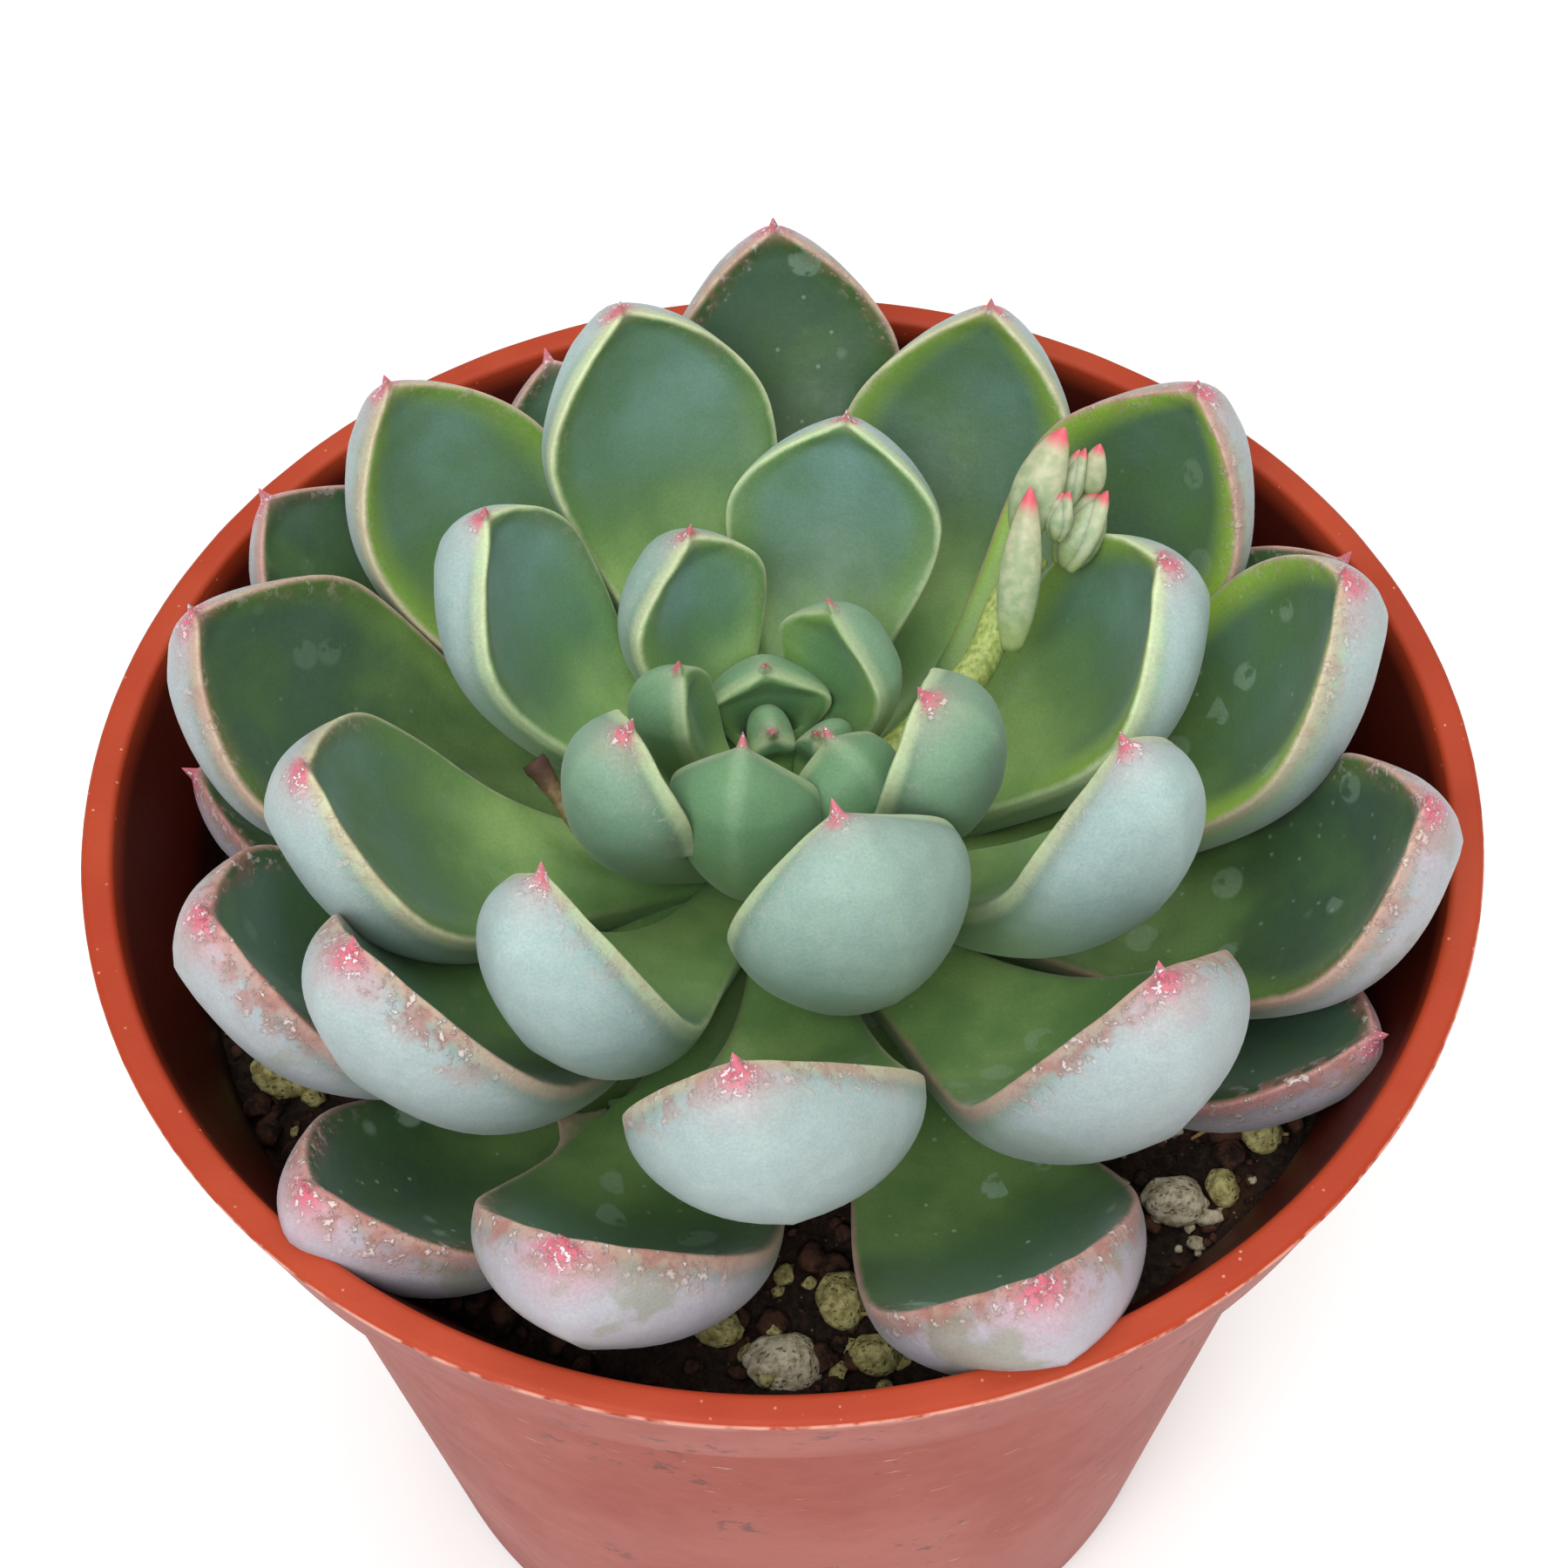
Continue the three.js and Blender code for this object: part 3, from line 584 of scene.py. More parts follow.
LEAF_RINGS = 76
LEAF_SIDES = 56
SPINE_STEPS = 240
SECTION_POWER = 0.7  # below 1, a section is squarer than an ellipse
SHOULDER = {"core": 1.0, "inner": 0.86, "middle": 0.82, "outer": 0.8}  # lower is squarer
UPPER_SHARE = 0.22  # how much of a blade's thickness lies above its centre line
POINT_LENGTH = 2.0
POINT_RADIUS = 0.72
POINT_POWER = 0.9
BLEND_POWER = 2.2  # how sharply the blade's outline turns into the point's
RIM_BEAD, RIM_BEAD_INSET, RIM_BEAD_WIDTH = 0.09, 0.9, 0.8
GROOVE_DEPTH, GROOVE_WIDTH = 0.16, 0.9
KEEL_HEIGHT, KEEL_WIDTH = 0.32, 1.3
WAVER, WAVER_SIZE = 0.22, 9
TIP_SIZE = {"core": 0.9, "inner": 1.5, "middle": 1.8, "outer": 1.9}  # the red point's, in the look

PRESS_GAP = 0.04
PRESS_FROM = 0.2  # how far along a leaf its own flesh starts to give way
EASING_ROUNDS = 6
PRESSED_EASE, FREE_EASE = 0.4, 0.9
DOWN = Vector((0, 0, -1))


def stem_radius(height):
    share = np.clip((height - STEM_SHOULDER) / (STEM_HEIGHT - STEM_SHOULDER), 0, 1)
    return STEM_RADIUS + (STEM_TOP_RADIUS - STEM_RADIUS) * share


def leaf_spine(base, tip, curl):
    """The centre line in the leaf's own plane, from base to tip, and its slope and length."""
    share = np.linspace(0, 1, SPINE_STEPS + 1)
    middle = curl * ((share[1:] + share[:-1]) / 2) ** LEAF_BEND_POWER
    out = np.concatenate([[0], np.cumsum(np.cos(middle))])
    up = np.concatenate([[0], np.cumsum(np.sin(middle))])
    chord = math.dist(base, tip)
    scale = chord / math.hypot(out[-1], up[-1])
    turn = math.atan2(tip[1] - base[1], tip[0] - base[0]) - math.atan2(up[-1], out[-1])
    slope = curl * share**LEAF_BEND_POWER + turn
    return (base[0] + scale * (out * math.cos(turn) - up * math.sin(turn)),
            base[1] + scale * (out * math.sin(turn) + up * math.cos(turn)),
            slope, scale * SPINE_STEPS)


def leaf_points(name):
    """A leaf's grid of surface points, with its base and tip points last, and attributes."""
    azimuth, reach, tip_height, width, curl, twist, sway = LEAVES[name][:7]
    group = name.split("_")[0]
    thickness = LEAF_THICKNESS[group]
    base_height = LOWEST_LEAF_BASE + (HIGHEST_LEAF_BASE - LOWEST_LEAF_BASE) * (1 - reach)
    base = (stem_radius(base_height) - LEAF_ROOT_DEPTH, base_height)
    spine_out, spine_up, slope, length = leaf_spine(
        base, (reach * ROSETTE_REACH, tip_height), math.radians(curl))

    t = np.sin(math.pi / 2 * np.arange(LEAF_RINGS) / LEAF_RINGS)
    at = np.linspace(0, 1, SPINE_STEPS + 1)
    out, up, slope = (np.interp(t, at, values)[:, None] for values in (spine_out, spine_up, slope))
    to_tip = (1 - t) * length

    # The blade ends a little before the tip, and a thorn-like point runs on from it.
    blade = np.clip(t / (1 - 0.5 * POINT_LENGTH / length), 0, 1)
    rise = np.sin(math.pi / 2 * np.minimum(blade / LEAF_WIDEST, 1)) ** NECK_POWER
    fall = np.maximum(0, (blade - LEAF_WIDEST) / (1 - LEAF_WIDEST))
    outline = width / 2 * (LEAF_NECK + (1 - LEAF_NECK) * rise) * (1 - fall**2) ** SHOULDER[group]
    spike = POINT_RADIUS * np.clip(to_tip / POINT_LENGTH, 0, 2) ** POINT_POWER
    half = (outline**BLEND_POWER + spike**BLEND_POWER) ** (1 / BLEND_POWER)
    swell = np.sin(math.pi / 2 * np.minimum(blade / LEAF_FULL, 1))
    thin = np.maximum(0, (blade - LEAF_FULL) / (1 - LEAF_FULL))
    deep = LEAF_BASE_THICKNESS + (thickness - LEAF_BASE_THICKNESS) * swell
    deep = np.hypot(deep * (1 - thin**2.4) ** 0.55, 2 * spike)
    cup = LEAF_CUP * swell**2

    angle = 2 * math.pi * np.arange(LEAF_SIDES) / LEAF_SIDES
    cos, sin = np.cos(angle)[None, :], np.sin(angle)[None, :]
    half, deep, cup, to_tip = half[:, None], deep[:, None], cup[:, None], to_tip[:, None]
    across = half * np.sign(cos) * np.abs(cos) ** SECTION_POWER

    # The point is round; further back, most of the thickness lies below the centre line.
    rounded = (0.5 - UPPER_SHARE) * smoothstep(1.5 * POINT_LENGTH, 0.25 * POINT_LENGTH, to_tip)
    share = np.where(sin > 0, UPPER_SHARE + rounded, 1 - UPPER_SHARE - rounded)
    lift = share * deep * np.sign(sin) * np.abs(sin) ** SECTION_POWER
    inset = half - np.abs(across)
    from_rim = np.hypot(inset, lift)

    # A bead inside the rim and a groove above, a keel below, and then the whole leaf's cup.
    grown = smoothstep(0.15, 0.5, t)[:, None] * smoothstep(0.4, 2.5, half)
    bead = RIM_BEAD * np.exp(-((inset - RIM_BEAD_INSET) / RIM_BEAD_WIDTH) ** 2)
    groove = GROOVE_DEPTH * np.exp(-(across / GROOVE_WIDTH) ** 2)
    keel = KEEL_HEIGHT * np.exp(-(across / KEEL_WIDTH) ** 2) * smoothstep(0.4, 0.9, t)[:, None]
    lift = lift + grown * np.where(sin > 0, bead - groove, np.where(sin < 0, -keel, 0))
    lift = lift + cup * across**2 / half

    roll = math.radians(twist) * t[:, None]
    sideways = across * np.cos(roll) - lift * np.sin(roll) + sway * t[:, None] ** 2
    normal = across * np.sin(roll) + lift * np.cos(roll)
    reach_out = out - normal * np.sin(slope)
    height = up + normal * np.cos(slope) + SOIL_TOP
    turn = math.radians(azimuth)
    grid = np.stack([reach_out * math.cos(turn) - sideways * math.sin(turn),
                     reach_out * math.sin(turn) + sideways * math.cos(turn), height], axis=-1)
    ends = [[spine_out[0] * math.cos(turn), spine_out[0] * math.sin(turn), spine_up[0] + SOIL_TOP],
            [spine_out[-1] * math.cos(turn) - sway * math.sin(turn),
             spine_out[-1] * math.sin(turn) + sway * math.cos(turn), spine_up[-1] + SOIL_TOP]]

    shape = across.shape
    from_tip = np.linalg.norm(grid - np.array(ends[1]), axis=-1)
    attributes = {  # the grid's values, then the base's and the tip's
        "rim_mm": (from_rim, 1, 0),
        "tip_mm": (from_tip, length, 0),
        "middle_mm": (np.abs(across), 0, 0),
        "along": (np.broadcast_to(t[:, None], shape), 0, 1),
        "under": (np.broadcast_to(smoothstep(0.25, -0.35, sin), shape), 0.5, 0.5),
    }
    attributes = {key: np.concatenate([values.ravel(), [at_base, at_tip]])
                  for key, (values, at_base, at_tip) in attributes.items()}
    looks = dict(zip(LOOKS, LEAVES[name][7:]))
    looks["bloom"] = float(smoothstep(0.12, 0.5, reach))
    looks["tip_size"] = TIP_SIZE[group]
    for key, value in looks.items():
        attributes[key] = np.full(len(attributes["along"]), float(value))
    return np.concatenate([grid.reshape(-1, 3), ends]), attributes


def waver(points, name):
    """Gentle unevenness, so that no two leaves are quite alike."""
    seed = 3.1 * list(LEAVES).index(name)
    return points + WAVER * wander(points, WAVER_SIZE, (seed, seed + 1, seed + 2))


def press(points, settled, keep):
    """Moves points that lie inside settled bodies out to their surface, as crowded leaves
    press each other's flesh back, and eases their neighbours after them. A point that would
    come out on top of a settled leaf goes down to its underside instead."""
    low, high = points.min(0), points.max(0)
    moved = np.zeros_like(points)
    for tree, other_low, other_high in settled:
        if np.any(low > other_high) or np.any(other_low > high):
            continue
        inside = np.all((points > other_low) & (points < other_high), axis=1) & keep
        for i in np.nonzero(inside)[0]:
            at = Vector(points[i] + moved[i])
            near, normal, _, _ = tree.find_nearest(at)
            depth = (near - at).dot(normal)
            if depth > 0 and normal.z > 0:
                underside, _, _, _ = tree.ray_cast(at, DOWN)
                near, normal = (underside, DOWN) if underside else (near, normal)
            if depth > -PRESS_GAP:
                moved[i] += np.array(near + normal * PRESS_GAP - at)
    grid = moved[:-2].reshape(LEAF_RINGS, LEAF_SIDES, 3)
    fixed = np.linalg.norm(grid, axis=2) > 0
    for _ in range(EASING_ROUNDS):
        around = (np.roll(grid, 1, 1) + np.roll(grid, -1, 1)) / 2
        along = grid.copy()
        along[1:-1] = (grid[2:] + grid[:-2]) / 2
        eased = (around + along) / 2
        grid = np.where(fixed[..., None], (1 - PRESSED_EASE) * grid + PRESSED_EASE * eased,
                        FREE_EASE * eased)
    return points + np.concatenate([grid.reshape(-1, 3), moved[-2:]])


def make_leaves():
    """The leaves from the heart outwards, each pressed back by those before it."""
    settled = []
    # Each skin: its green, its wax colour with a painted sky reflection, how strongly the rim shows,
    # and how far the base's painted glow reaches.
    looks = {
        "core": leaf_look("core_leaf_skin", (84, 124, 82), (108, 148, 126), 0.45, 0.5),
        "inner": leaf_look("inner_leaf_skin", (78, 114, 78), (118, 154, 146), 0.8, 0.6),
        "middle": leaf_look("middle_leaf_skin", (72, 108, 62), (114, 150, 138), 0.9, 0.72),
        "outer": leaf_look("outer_leaf_skin", (70, 104, 54), (106, 140, 124), 0.9, 0.72),
    }
    faces = capped_rings(LEAF_RINGS, LEAF_SIDES)
    for name in LEAVES:
        points, attributes = leaf_points(name)
        points = waver(points, name)
        points = press(points, settled, attributes["along"] > PRESS_FROM)
        settled.append((BVHTree.FromPolygons(points.tolist(), faces), points.min(0), points.max(0)))
        group = name.split("_")[0]
        piece("skin_" + name, points, faces, looks[group], [name], group + "_leaves", attributes)


# ------------------------ pot

POT_SEGMENTS = 240
POT_CORNER = 0.8  # the rounding at the foot, outside and inside
COLLAR_CORNER = 0.3
STEP_FILLET = 0.35
BASE_RING = (9, 7.5)  # a shallow moulded ring under the base, as insets from its edge
BASE_RING_DEPTH = 0.25
POLE = 0.4  # where the rings give way to a fan round the middle point
OVALNESS = 0.0015
FLASH_SIZE = 0.06
FLASH_LINE = (  # the moulding flash round the lip's edge: inset, drop, outside, flash
    (0.1, 0.6, 1, 0.4), (0.02, 0.42, 0.7, 1), (0, 0.32, 0.3, 1), (0.08, 0.2, 0, 0.6))


def pot_profile():
    """The wall's outline from under the middle, up the outside, over the lip and down the
    inside, as rows of radius, height, outside, inside and flash."""
    base = BODY_TOP_RADIUS - COLLAR_FOOT * math.tan(BODY_DRAFT)
    lip_inner = RIM_RADIUS - LIP_WIDTH
    collar_radius = BODY_TOP_RADIUS + COLLAR_STEP
    inner_base = base - POT_WALL
    rows = []

    def run(start, end, count, outside, inside):
        for i in range(count):
            share = i / count
            rows.append((start[0] + (end[0] - start[0]) * share,
                         start[1] + (end[1] - start[1]) * share, outside, inside, 0))

    def arc(centre, radius, start, end, count, outside, inside):
        for i in range(count + 1):
            a = math.radians(start + (end - start) * i / count)
            rows.append((centre[0] + radius * math.cos(a), centre[1] + radius * math.sin(a),
                         outside, inside, 0))

    # The base, with its ring, and the body.
    run((POLE, 0), (base - BASE_RING[0], 0), 8, 1, 0)
    run((base - BASE_RING[0], BASE_RING_DEPTH), (base - BASE_RING[1], BASE_RING_DEPTH), 2, 1, 0)
    run((base - 7, 0), (base - POT_CORNER, 0), 5, 1, 0)
    arc((base - POT_CORNER, POT_CORNER), POT_CORNER, -90, 0, 6, 1, 0)
    run((base + POT_CORNER * math.tan(BODY_DRAFT), 2 * POT_CORNER),
        (BODY_TOP_RADIUS - 0.05, COLLAR_FOOT - 0.4), 40, 1, 0)

    # The collar, up to the flash.
    arc((BODY_TOP_RADIUS + STEP_FILLET, COLLAR_FOOT - STEP_FILLET), STEP_FILLET, 180, 90, 4, 1, 0)
    run((BODY_TOP_RADIUS + 0.5, COLLAR_FOOT), (collar_radius - COLLAR_CORNER, COLLAR_FOOT), 3, 1, 0)
    arc((collar_radius - COLLAR_CORNER, COLLAR_FOOT + COLLAR_CORNER), COLLAR_CORNER, -90, 0, 4, 1, 0)
    run((collar_radius + 0.05, COLLAR_FOOT + 2 * COLLAR_CORNER),
        (RIM_RADIUS - 0.12, POT_HEIGHT - 0.75), 10, 1, 0)
    for inset, drop, outside, flash in FLASH_LINE:
        rows.append((RIM_RADIUS - inset, POT_HEIGHT - drop, outside, 0, flash))

    # The lip, the inside and the floor.
    arc((RIM_RADIUS - 0.5, POT_HEIGHT - 0.45), 0.45, 35, 90, 4, 0, 0)
    run((RIM_RADIUS - 0.8, POT_HEIGHT), (lip_inner + 0.6, POT_HEIGHT), 3, 0, 0)
    arc((lip_inner + LIP_ROUNDING, POT_HEIGHT - LIP_ROUNDING), LIP_ROUNDING, 90, 180, 5, 0, 0.1)
    run((lip_inner - 0.05, POT_HEIGHT - 0.9), (BODY_TOP_RADIUS - POT_WALL, COLLAR_FOOT), 12, 0, 1)
    run((BODY_TOP_RADIUS - POT_WALL, COLLAR_FOOT - 0.5),
        (inner_base + 0.2, POT_FLOOR + POT_CORNER), 24, 0, 1)
    arc((inner_base - 0.6, POT_FLOOR + POT_CORNER), POT_CORNER, 0, -90, 4, 0, 1)
    run((inner_base - 1.4, POT_FLOOR), (POLE, POT_FLOOR), 6, 0, 1)
    return np.array(rows)


def make_pot():
    """The moulding, turned from its outline, a trace oval and with a ragged line of flash."""
    radii, heights, outside, inside, flash = pot_profile().T
    angle = 2 * math.pi * np.arange(POT_SEGMENTS) / POT_SEGMENTS
    oval = OVALNESS * np.sin(2 * angle + 0.7)[None, :] * (radii[:, None] > 20)
    ragged = flash[:, None] * FLASH_SIZE * ripple(
        np.stack([20 * np.cos(angle), 20 * np.sin(angle), 0 * angle], axis=-1), 1.2)[None, :]
    radius = np.minimum(radii[:, None] * (1 + oval) + ragged, RIM_RADIUS)
    grid = np.stack([radius * np.cos(angle), radius * np.sin(angle),
                     np.broadcast_to(heights[:, None], radius.shape)], axis=-1)
    points = np.concatenate([grid.reshape(-1, 3), [[0, 0, 0], [0, 0, POT_FLOOR]]])
    attributes = {  # each ring's value, then the two middle points'
        "outside": (outside, 1, 0),
        "inside": (inside, 0, 1),
        "flash": (flash, 0, 0),
        "below_rim": (POT_HEIGHT - heights, POT_HEIGHT, POT_HEIGHT),
    }
    attributes = {key: np.concatenate([np.repeat(values, POT_SEGMENTS), [under, floor]])
                  for key, (values, under, floor) in attributes.items()}
    faces = capped_rings(len(radii), POT_SEGMENTS)
    piece("plastic_pot", points, faces, pot_look(), ["pot"], "pot", attributes)


# ------------------------ soil

SOIL_SIDES = 300
SOIL_RINGS = 130
WALL_GAP = 0.1
FLOOR_GAP = 0.3
CLOD_SIZE, CLOD_HEIGHT = 5, 0.55
GRAIN_SIZE, GRAIN_HEIGHT = 1.1, 0.4
CRUMB_REACH = 38.2
STRAW_REACH = 38
STRAW_STEP = 0.8


def soil_height(x, y):
    """The CAD soil's swells, with clods and grains on top."""
    swell = math.sin(x / 6 + 1) * math.cos(y / 7) + 0.5 * math.sin((x + y) / 4)
    clod = noise.fractal(Vector((x / CLOD_SIZE, y / CLOD_SIZE, 0.3)), 0.6, 2.1, 5)
    grain = noise.fractal(Vector((x / GRAIN_SIZE, y / GRAIN_SIZE, 4.2)), 0.7, 2.1, 3)
    return SOIL_TOP + SOIL_UNEVENNESS * swell + CLOD_HEIGHT * clod + GRAIN_HEIGHT * grain


def make_soil():
    """A closed body of earth with a rough top, inside the pot's wall."""
    wall = BODY_TOP_RADIUS - POT_WALL
    edge = wall - (COLLAR_FOOT - SOIL_TOP) * math.tan(BODY_DRAFT) - WALL_GAP
    foot = wall - (COLLAR_FOOT - POT_FLOOR) * math.tan(BODY_DRAFT) - 0.4
    angle = 2 * math.pi * np.arange(SOIL_SIDES) / SOIL_SIDES
    points = []
    for radius, height in ((foot, POT_FLOOR + FLOOR_GAP), (edge - 0.5, SOIL_TOP - 6)):
        points += [(radius * math.cos(a), radius * math.sin(a), height) for a in angle]
    for ring in range(SOIL_RINGS):
        radius = edge * (1 - ring / SOIL_RINGS) + 0.2
        points += [(radius * math.cos(a), radius * math.sin(a),
                    soil_height(radius * math.cos(a), radius * math.sin(a))) for a in angle]
    points += [(0, 0, POT_FLOOR + FLOOR_GAP), (0, 0, soil_height(0, 0))]
    faces = capped_rings(SOIL_RINGS + 2, SOIL_SIDES)
    piece("peat", points, faces, soil_look(), ["soil"], "soil")


def near(centre_x, centre_y, reach):
    """A region of the soil, as a function that says whether a place lies in it."""
    return lambda x, y: math.hypot(x - centre_x, y - centre_y) < reach


def scatter(seed, count, smallest, largest, region):
    """Small stones lying on the soil, in a region of it, most of them near the smallest."""
    draw = random.Random(seed)
    parts = []
    while len(parts) < count:
        radius = CRUMB_REACH * math.sqrt(draw.random())
        angle = draw.uniform(0, 2 * math.pi)
        x, y = radius * math.cos(angle), radius * math.sin(angle)
        size = smallest + (largest - smallest) * draw.random() ** 2.2
        shape = [size * draw.uniform(*limits) for limits in ((0.8, 1.3), (0.7, 1.1), (0.5, 0.9))]
        shape_seed = draw.uniform(0, 90)
        if region(x, y):
            centre = (x, y, soil_height(x, y) + 0.25 * size)
            parts.append(lump(centre, shape, shape_seed, 2, 0.45, 0.4))
    return merged(parts)


def make_ground_cover():
    """Crumbs all over the soil, fine grit in three places, and the larger granules."""
    crumbs = crumb_look()
    pale = pumice_look("pale_pumice", (206, 196, 170), (150, 134, 104))
    green = pumice_look("green_pumice", (190, 182, 122), (130, 116, 66))
    everywhere = near(0, 0, RIM_RADIUS)
    piece("soil_crumbs", *scatter(11, 2100, 0.35, 2.2, everywhere), crumbs, slot="soil")
    for name, stones, look in (
            ("front", (21, 34, 0.5, 1.6, near(4, -34, 7)), green),
            ("right", (22, 30, 0.5, 1.7, near(29, -22, 9)), pale),
            ("left", (23, 40, 0.4, 1.6, near(-32, -16, 10)), green)):
        piece("fine_grit_" + name, *scatter(*stones), look, slot="pumice")
    for number in range(1, 9):
        node = f"pumice_{number}"
        low, high = (np.array(corner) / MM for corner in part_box(node))
        centre, size = (low + high) / 2, high - low
        centre[2] = soil_height(centre[0], centre[1]) + size[2] * 0.36
        points, faces = lump(centre, size * 1.05, 0.0, 4, 0.22, 0.45)
        look = pale if number in (1, 4) else green
        piece(f"granule_{number}", points, faces, look, [node], "pumice")


def make_straw():
    """Dry fibres on the soil, in loose curves."""
    draw = random.Random(5)
    parts = []
    for centre_x, centre_y, count in ((29, -17, 14), (-34, -9, 10), (5, -37, 6), (0, 34, 8)):
        for _ in range(count):
            x, y = centre_x + draw.uniform(-5, 5), centre_y + draw.uniform(-5, 5)
            heading, bend = draw.uniform(0, 2 * math.pi), draw.uniform(-0.5, 0.5)
            path = []
            for step in range(9):
                if math.hypot(x, y) > STRAW_REACH:
                    break
                path.append((x, y, soil_height(x, y) + 0.5 + 0.5 * math.sin(step * 0.9)))
                x, y = x + STRAW_STEP * math.cos(heading), y + STRAW_STEP * math.sin(heading)
                heading += bend * 0.6
            if len(path) < 4:
                continue
            radius = draw.uniform(0.1, 0.26)
            taper = [0.5 + 0.5 * math.sin(math.pi * (i + 0.6) / len(path)) for i in range(len(path))]
            parts.append(tube(path, [radius * share for share in taper], 6))
    piece("straw", *merged(parts), straw_look(), slot="soil")


# ------------------------ stem and stalks

def above_soil(path):
    return [(x, y, SOIL_TOP + height) for x, y, height in path]


def make_stem():
    """The ringed, knobbly stem, from the foot of its socket to its narrow top."""
    path = above_soil([(0, 0, height) for height in np.linspace(-SOCKET_DEPTH, STEM_HEIGHT, 40)])
    radii = [stem_radius(p[2] - SOIL_TOP) + 0.25 * math.sin(2.2 * p[2]) for p in path]
    radii[-1] = 0.6
    points, faces = tube(path, radii, 40)
    points += 0.3 * wander(points, 2.5, (1, 2, 3))
    skin = stem_look("stem_skin", (146, 166, 92), (96, 110, 56))
    piece("stem_flesh", points, faces, skin, ["stem"], "stem")


def make_stalks():
    """The young flower stalk, and the stub of the old one with its swollen cut end."""
    green = stem_look("stalk_skin", (178, 190, 110), (128, 146, 74))
    share = np.linspace(0, 1, 40)
    radii = np.interp(share, [0, 0.6, 1], [1.25, 1.05, 0.9]) * STALK_RADIUS
    path = smooth_path(above_soil(STALK_PATH), len(share))
    piece("stalk", *tube(path, radii, 20), green, ["flower_stalk"], "young_stalk")

    sides = 18
    share = np.linspace(0, 1, 36)
    radii = STUB_RADIUS * (1 - 0.25 * share + 0.12 * np.sin(share * 21))
    radii *= np.where(share > 0.97, 1.15, 1)
    points, faces = tube(smooth_path(above_soil(STUB_PATH), len(share)), radii, sides)
    points += 0.1 * wander(points, 0.8, (4, 5, 6))
    along = np.concatenate([np.repeat(share, sides), [0, 1]])
    piece("old_stalk", points, faces, stub_look(), ["cut_stalk"], "old_stalk", {"along": along})


def pod(base, tip, width, flat, bend, turn=0.0):
    """A succulent bract or sepal: a pointed ovoid, flattened and bent towards one side, and
    how far along it each of its points lies."""
    base, tip = np.array(base, float), np.array(tip, float)
    length = np.linalg.norm(tip - base)
    axis = unit(tip - base)
    side = unit(np.cross(axis, [0, 0, 1]))
    face = np.cross(side, axis)
    side, face = (math.cos(turn) * side + math.sin(turn) * face,
                  math.cos(turn) * face - math.sin(turn) * side)
    rings, sides = 40, 28
    t = np.sin(math.pi / 2 * np.arange(rings) / rings)
    body = np.sin(math.pi * np.clip(t * 0.93 + 0.07, 0, 1)) ** 0.75 * (1 - 0.25 * t)
    point = 0.12 * np.clip((1 - t) * 8, 0, 1) ** 0.8
    half = width / 2 * np.maximum(body, 0.3 * (1 - t)) + point * width / 2
    points = []
    for at, size in zip(t, half):
        centre = base + axis * at * length + face * bend * length * math.sin(math.pi * at)
        for angle in np.linspace(0, 2 * math.pi, sides, endpoint=False):
            keel = 1 + 0.12 * max(0.0, math.sin(angle)) ** 6
            points.append(centre + size * math.cos(angle) * side
                          + size * flat * keel * math.sin(angle) * face)
    points += [base, tip]
    along = np.concatenate([np.repeat(t, sides), [0, 1]])
    return np.array(points), capped_rings(rings, sides), along


def bud(base, tip, width):
    """A closed bud: a core with three sepals that hug it."""
    axis = unit(tip - base)
    across = unit(np.cross(axis, [0, 0, 1]))
    upward = np.cross(across, axis)
    parts, values = [], []
    for sepal in range(3):
        angle = 2 * math.pi * sepal / 3 + 0.6
        away = math.cos(angle) * across + math.sin(angle) * upward
        *shape, along = pod(base + away * width * 0.1, tip + away * width * 0.12 - axis * 0.3 * sepal,
                            width * 0.8, 0.6, 0.0, angle)
        parts.append(shape)
        values.append(along)
    *core, along = pod(base, tip - axis * 0.5, width * 0.86, 0.95, 0.0)
    return *merged([*parts, core]), np.concatenate([*values, 0.8 * along])


def make_buds():
    skin = bract_look()
    for name, (base, tip, width) in BUDS.items():
        base, tip = np.array(above_soil([base, tip]))
        if name.startswith("bract"):
            points, faces, along = pod(base, tip, width, 0.7, 0.05)
            blush = np.full(len(points), 1.0)
        else:
            points, faces, along = bud(base, tip, width)
            blush = np.full(len(points), 0.35)
        attributes = {"along": along, "blush": blush}
        piece(name + "_skin", points, faces, skin, [name], "young_stalk", attributes)


# ------------------------ camera, lights and floor

CAMERA_DOWN = math.radians(52.96)
CAMERA_ROLL = math.radians(-1.28)
CAMERA_DISTANCE = 180.2
CAMERA_TARGET = Vector((0.2, -0.6, POT_HEIGHT))
LENS = 64
SENSOR = 36
FLOOR_REACH = 2.5
FLOOR_DROP = 0.0004


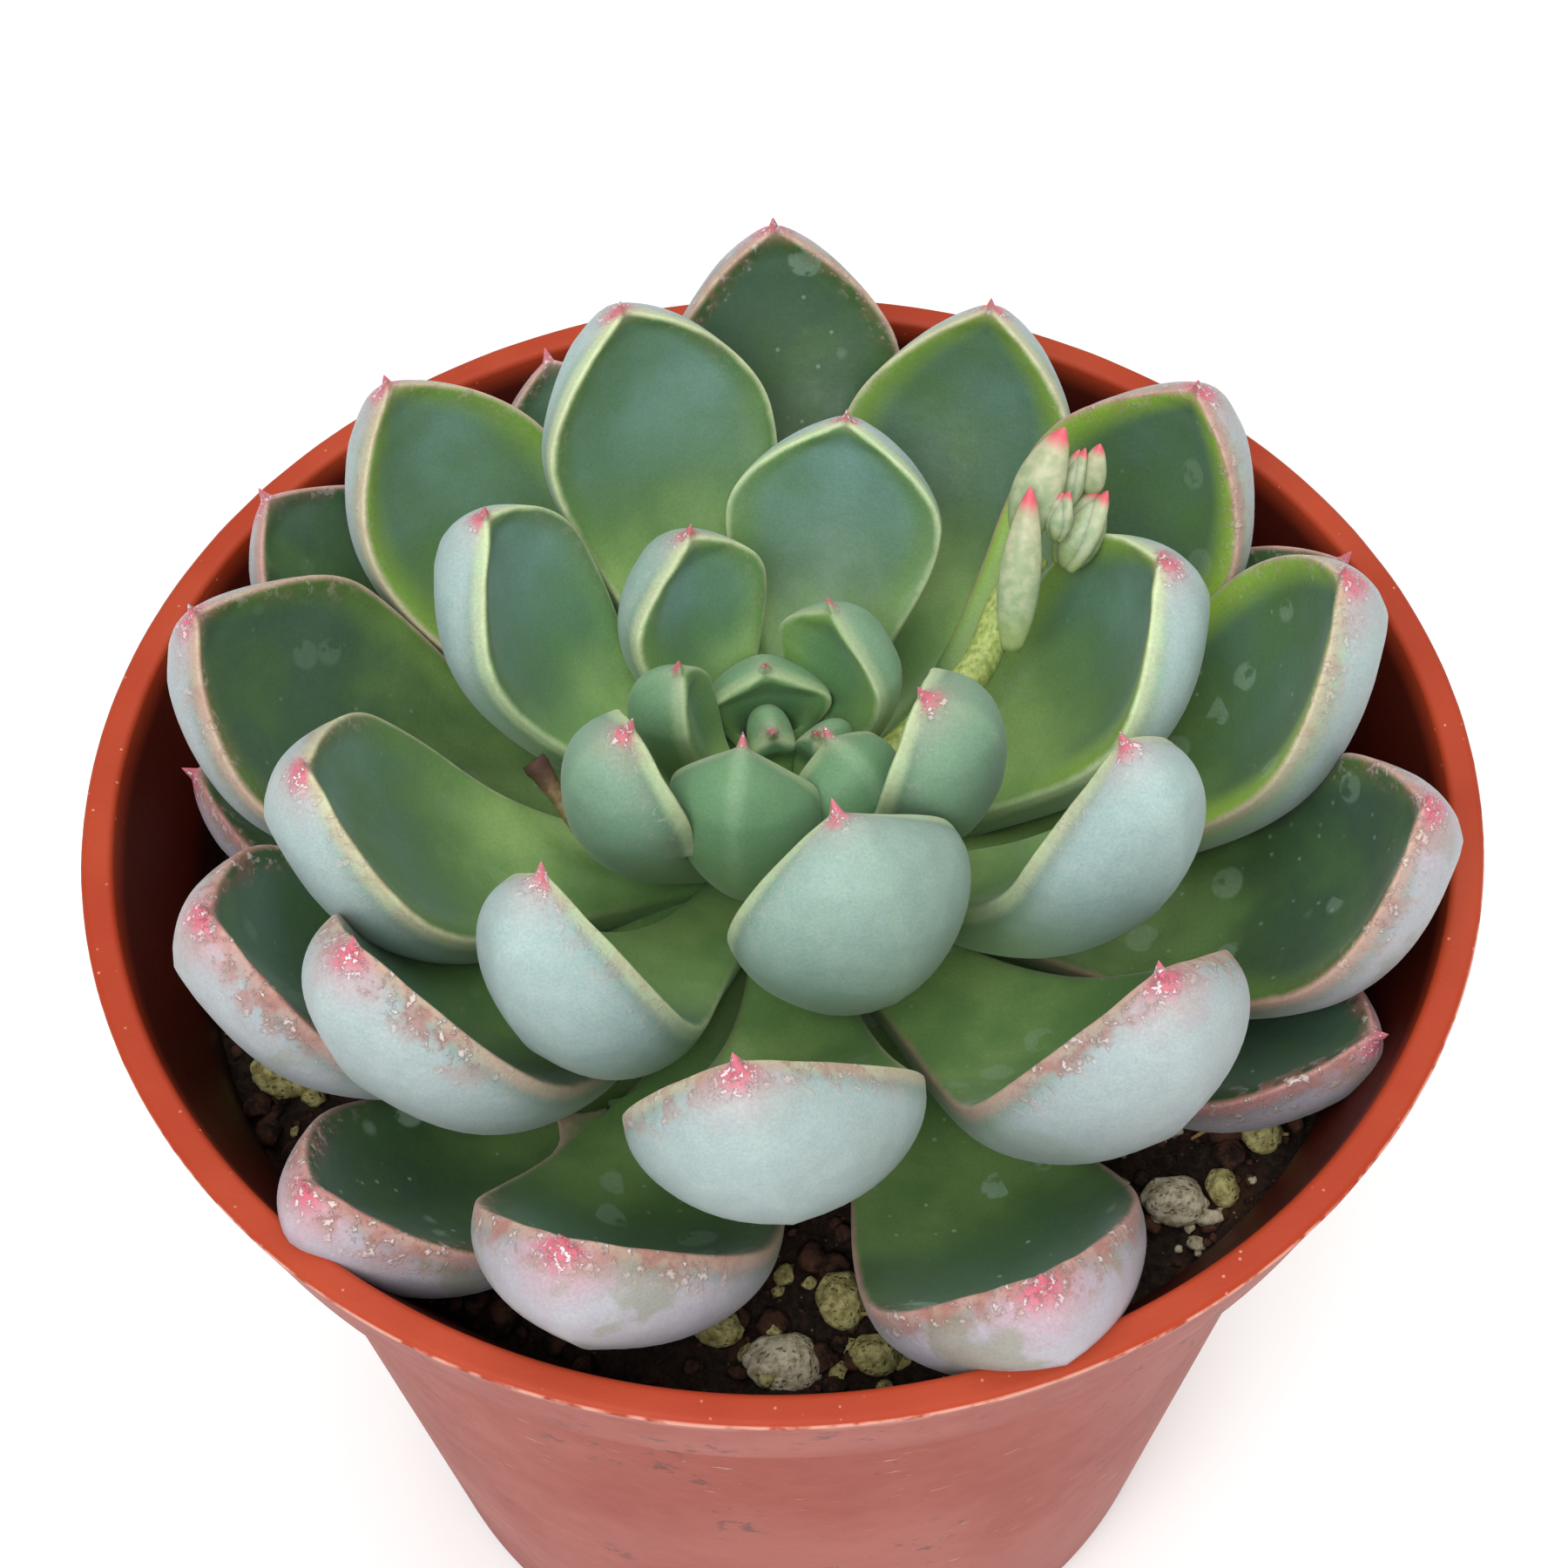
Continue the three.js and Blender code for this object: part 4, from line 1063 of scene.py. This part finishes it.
def make_camera():
    """The camera at the photograph's angle, looking down at the middle of the rim."""
    view = Vector((0, math.cos(CAMERA_DOWN), -math.sin(CAMERA_DOWN)))
    level = Vector((1, 0, 0))
    upward = Vector((0, math.sin(CAMERA_DOWN), math.cos(CAMERA_DOWN)))
    right = math.cos(CAMERA_ROLL) * level + math.sin(CAMERA_ROLL) * upward
    up = math.cos(CAMERA_ROLL) * upward - math.sin(CAMERA_ROLL) * level
    data = bpy.data.cameras.new("camera")
    data.lens = LENS
    data.sensor_width = SENSOR
    data.clip_start = 0.01
    camera = bpy.data.objects.new("camera", data)
    place = MM * (CAMERA_TARGET - CAMERA_DISTANCE * view)
    turned = Matrix((right, up, -view)).transposed().to_4x4()
    camera.matrix_world = Matrix.Translation(place) @ turned
    bpy.context.scene.collection.objects.link(camera)
    bpy.context.scene.camera = camera


def make_light(name, place, aim, size, power, tint):
    data = bpy.data.lights.new(name, "AREA")
    data.shape = "RECTANGLE"
    data.size, data.size_y = size
    data.energy = power
    data.color = tint
    light = bpy.data.objects.new(name, data)
    light.location = place
    light.rotation_euler = (Vector(aim) - Vector(place)).to_track_quat("-Z", "Y").to_euler()
    bpy.context.scene.collection.objects.link(light)


def make_studio():
    rosette = (0, 0, POT_HEIGHT * MM)
    make_light("key_window", (-0.18, -0.42, 0.62), rosette, (0.5, 0.35), 3.6, (0.93, 0.97, 1.0))
    make_light("overhead", (0.05, 0.12, 0.75), rosette, (0.7, 0.7), 3.4, (1.0, 0.99, 0.97))
    make_light("front_fill", (0.3, -0.6, 0.2), (0, 0, 0.05), (0.5, 0.4), 0.8, (1.0, 0.98, 0.95))

    world = bpy.data.worlds.new("studio")
    world.use_nodes = True
    background = world.node_tree.nodes["Background"]
    background.inputs["Color"].default_value = (0.96, 0.98, 1.0, 1)
    background.inputs["Strength"].default_value = 0.46
    bpy.context.scene.world = world
    bpy.context.scene.view_settings.view_transform = "Standard"

    floor = bmesh.new()
    bmesh.ops.create_grid(floor, x_segments=2, y_segments=2, size=FLOOR_REACH)
    data = bpy.data.meshes.new("floor")
    floor.to_mesh(data)
    floor.free()
    look = Look("pale_floor", Roughness=0.8, Specular_IOR_Level=0.2,
                Emission_Color=(1, 1, 1, 1), Emission_Strength=0.1)
    data.materials.append(look.finish(colour(246, 246, 244)))
    ground = bpy.data.objects.new("floor", data)
    ground.location.z = -FLOOR_DROP
    bpy.context.scene.collection.objects.link(ground)
    ground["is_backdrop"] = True


# ------------------------ everything

make_camera()
make_studio()
make_pot()
make_soil()
make_ground_cover()
make_straw()
make_stem()
make_leaves()
make_stalks()
make_buds()

boxes = {"cad": CAD_BOX, "visual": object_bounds()}
boxes = {key: [[float(x) for x in corner] for corner in box] for key, box in boxes.items()}
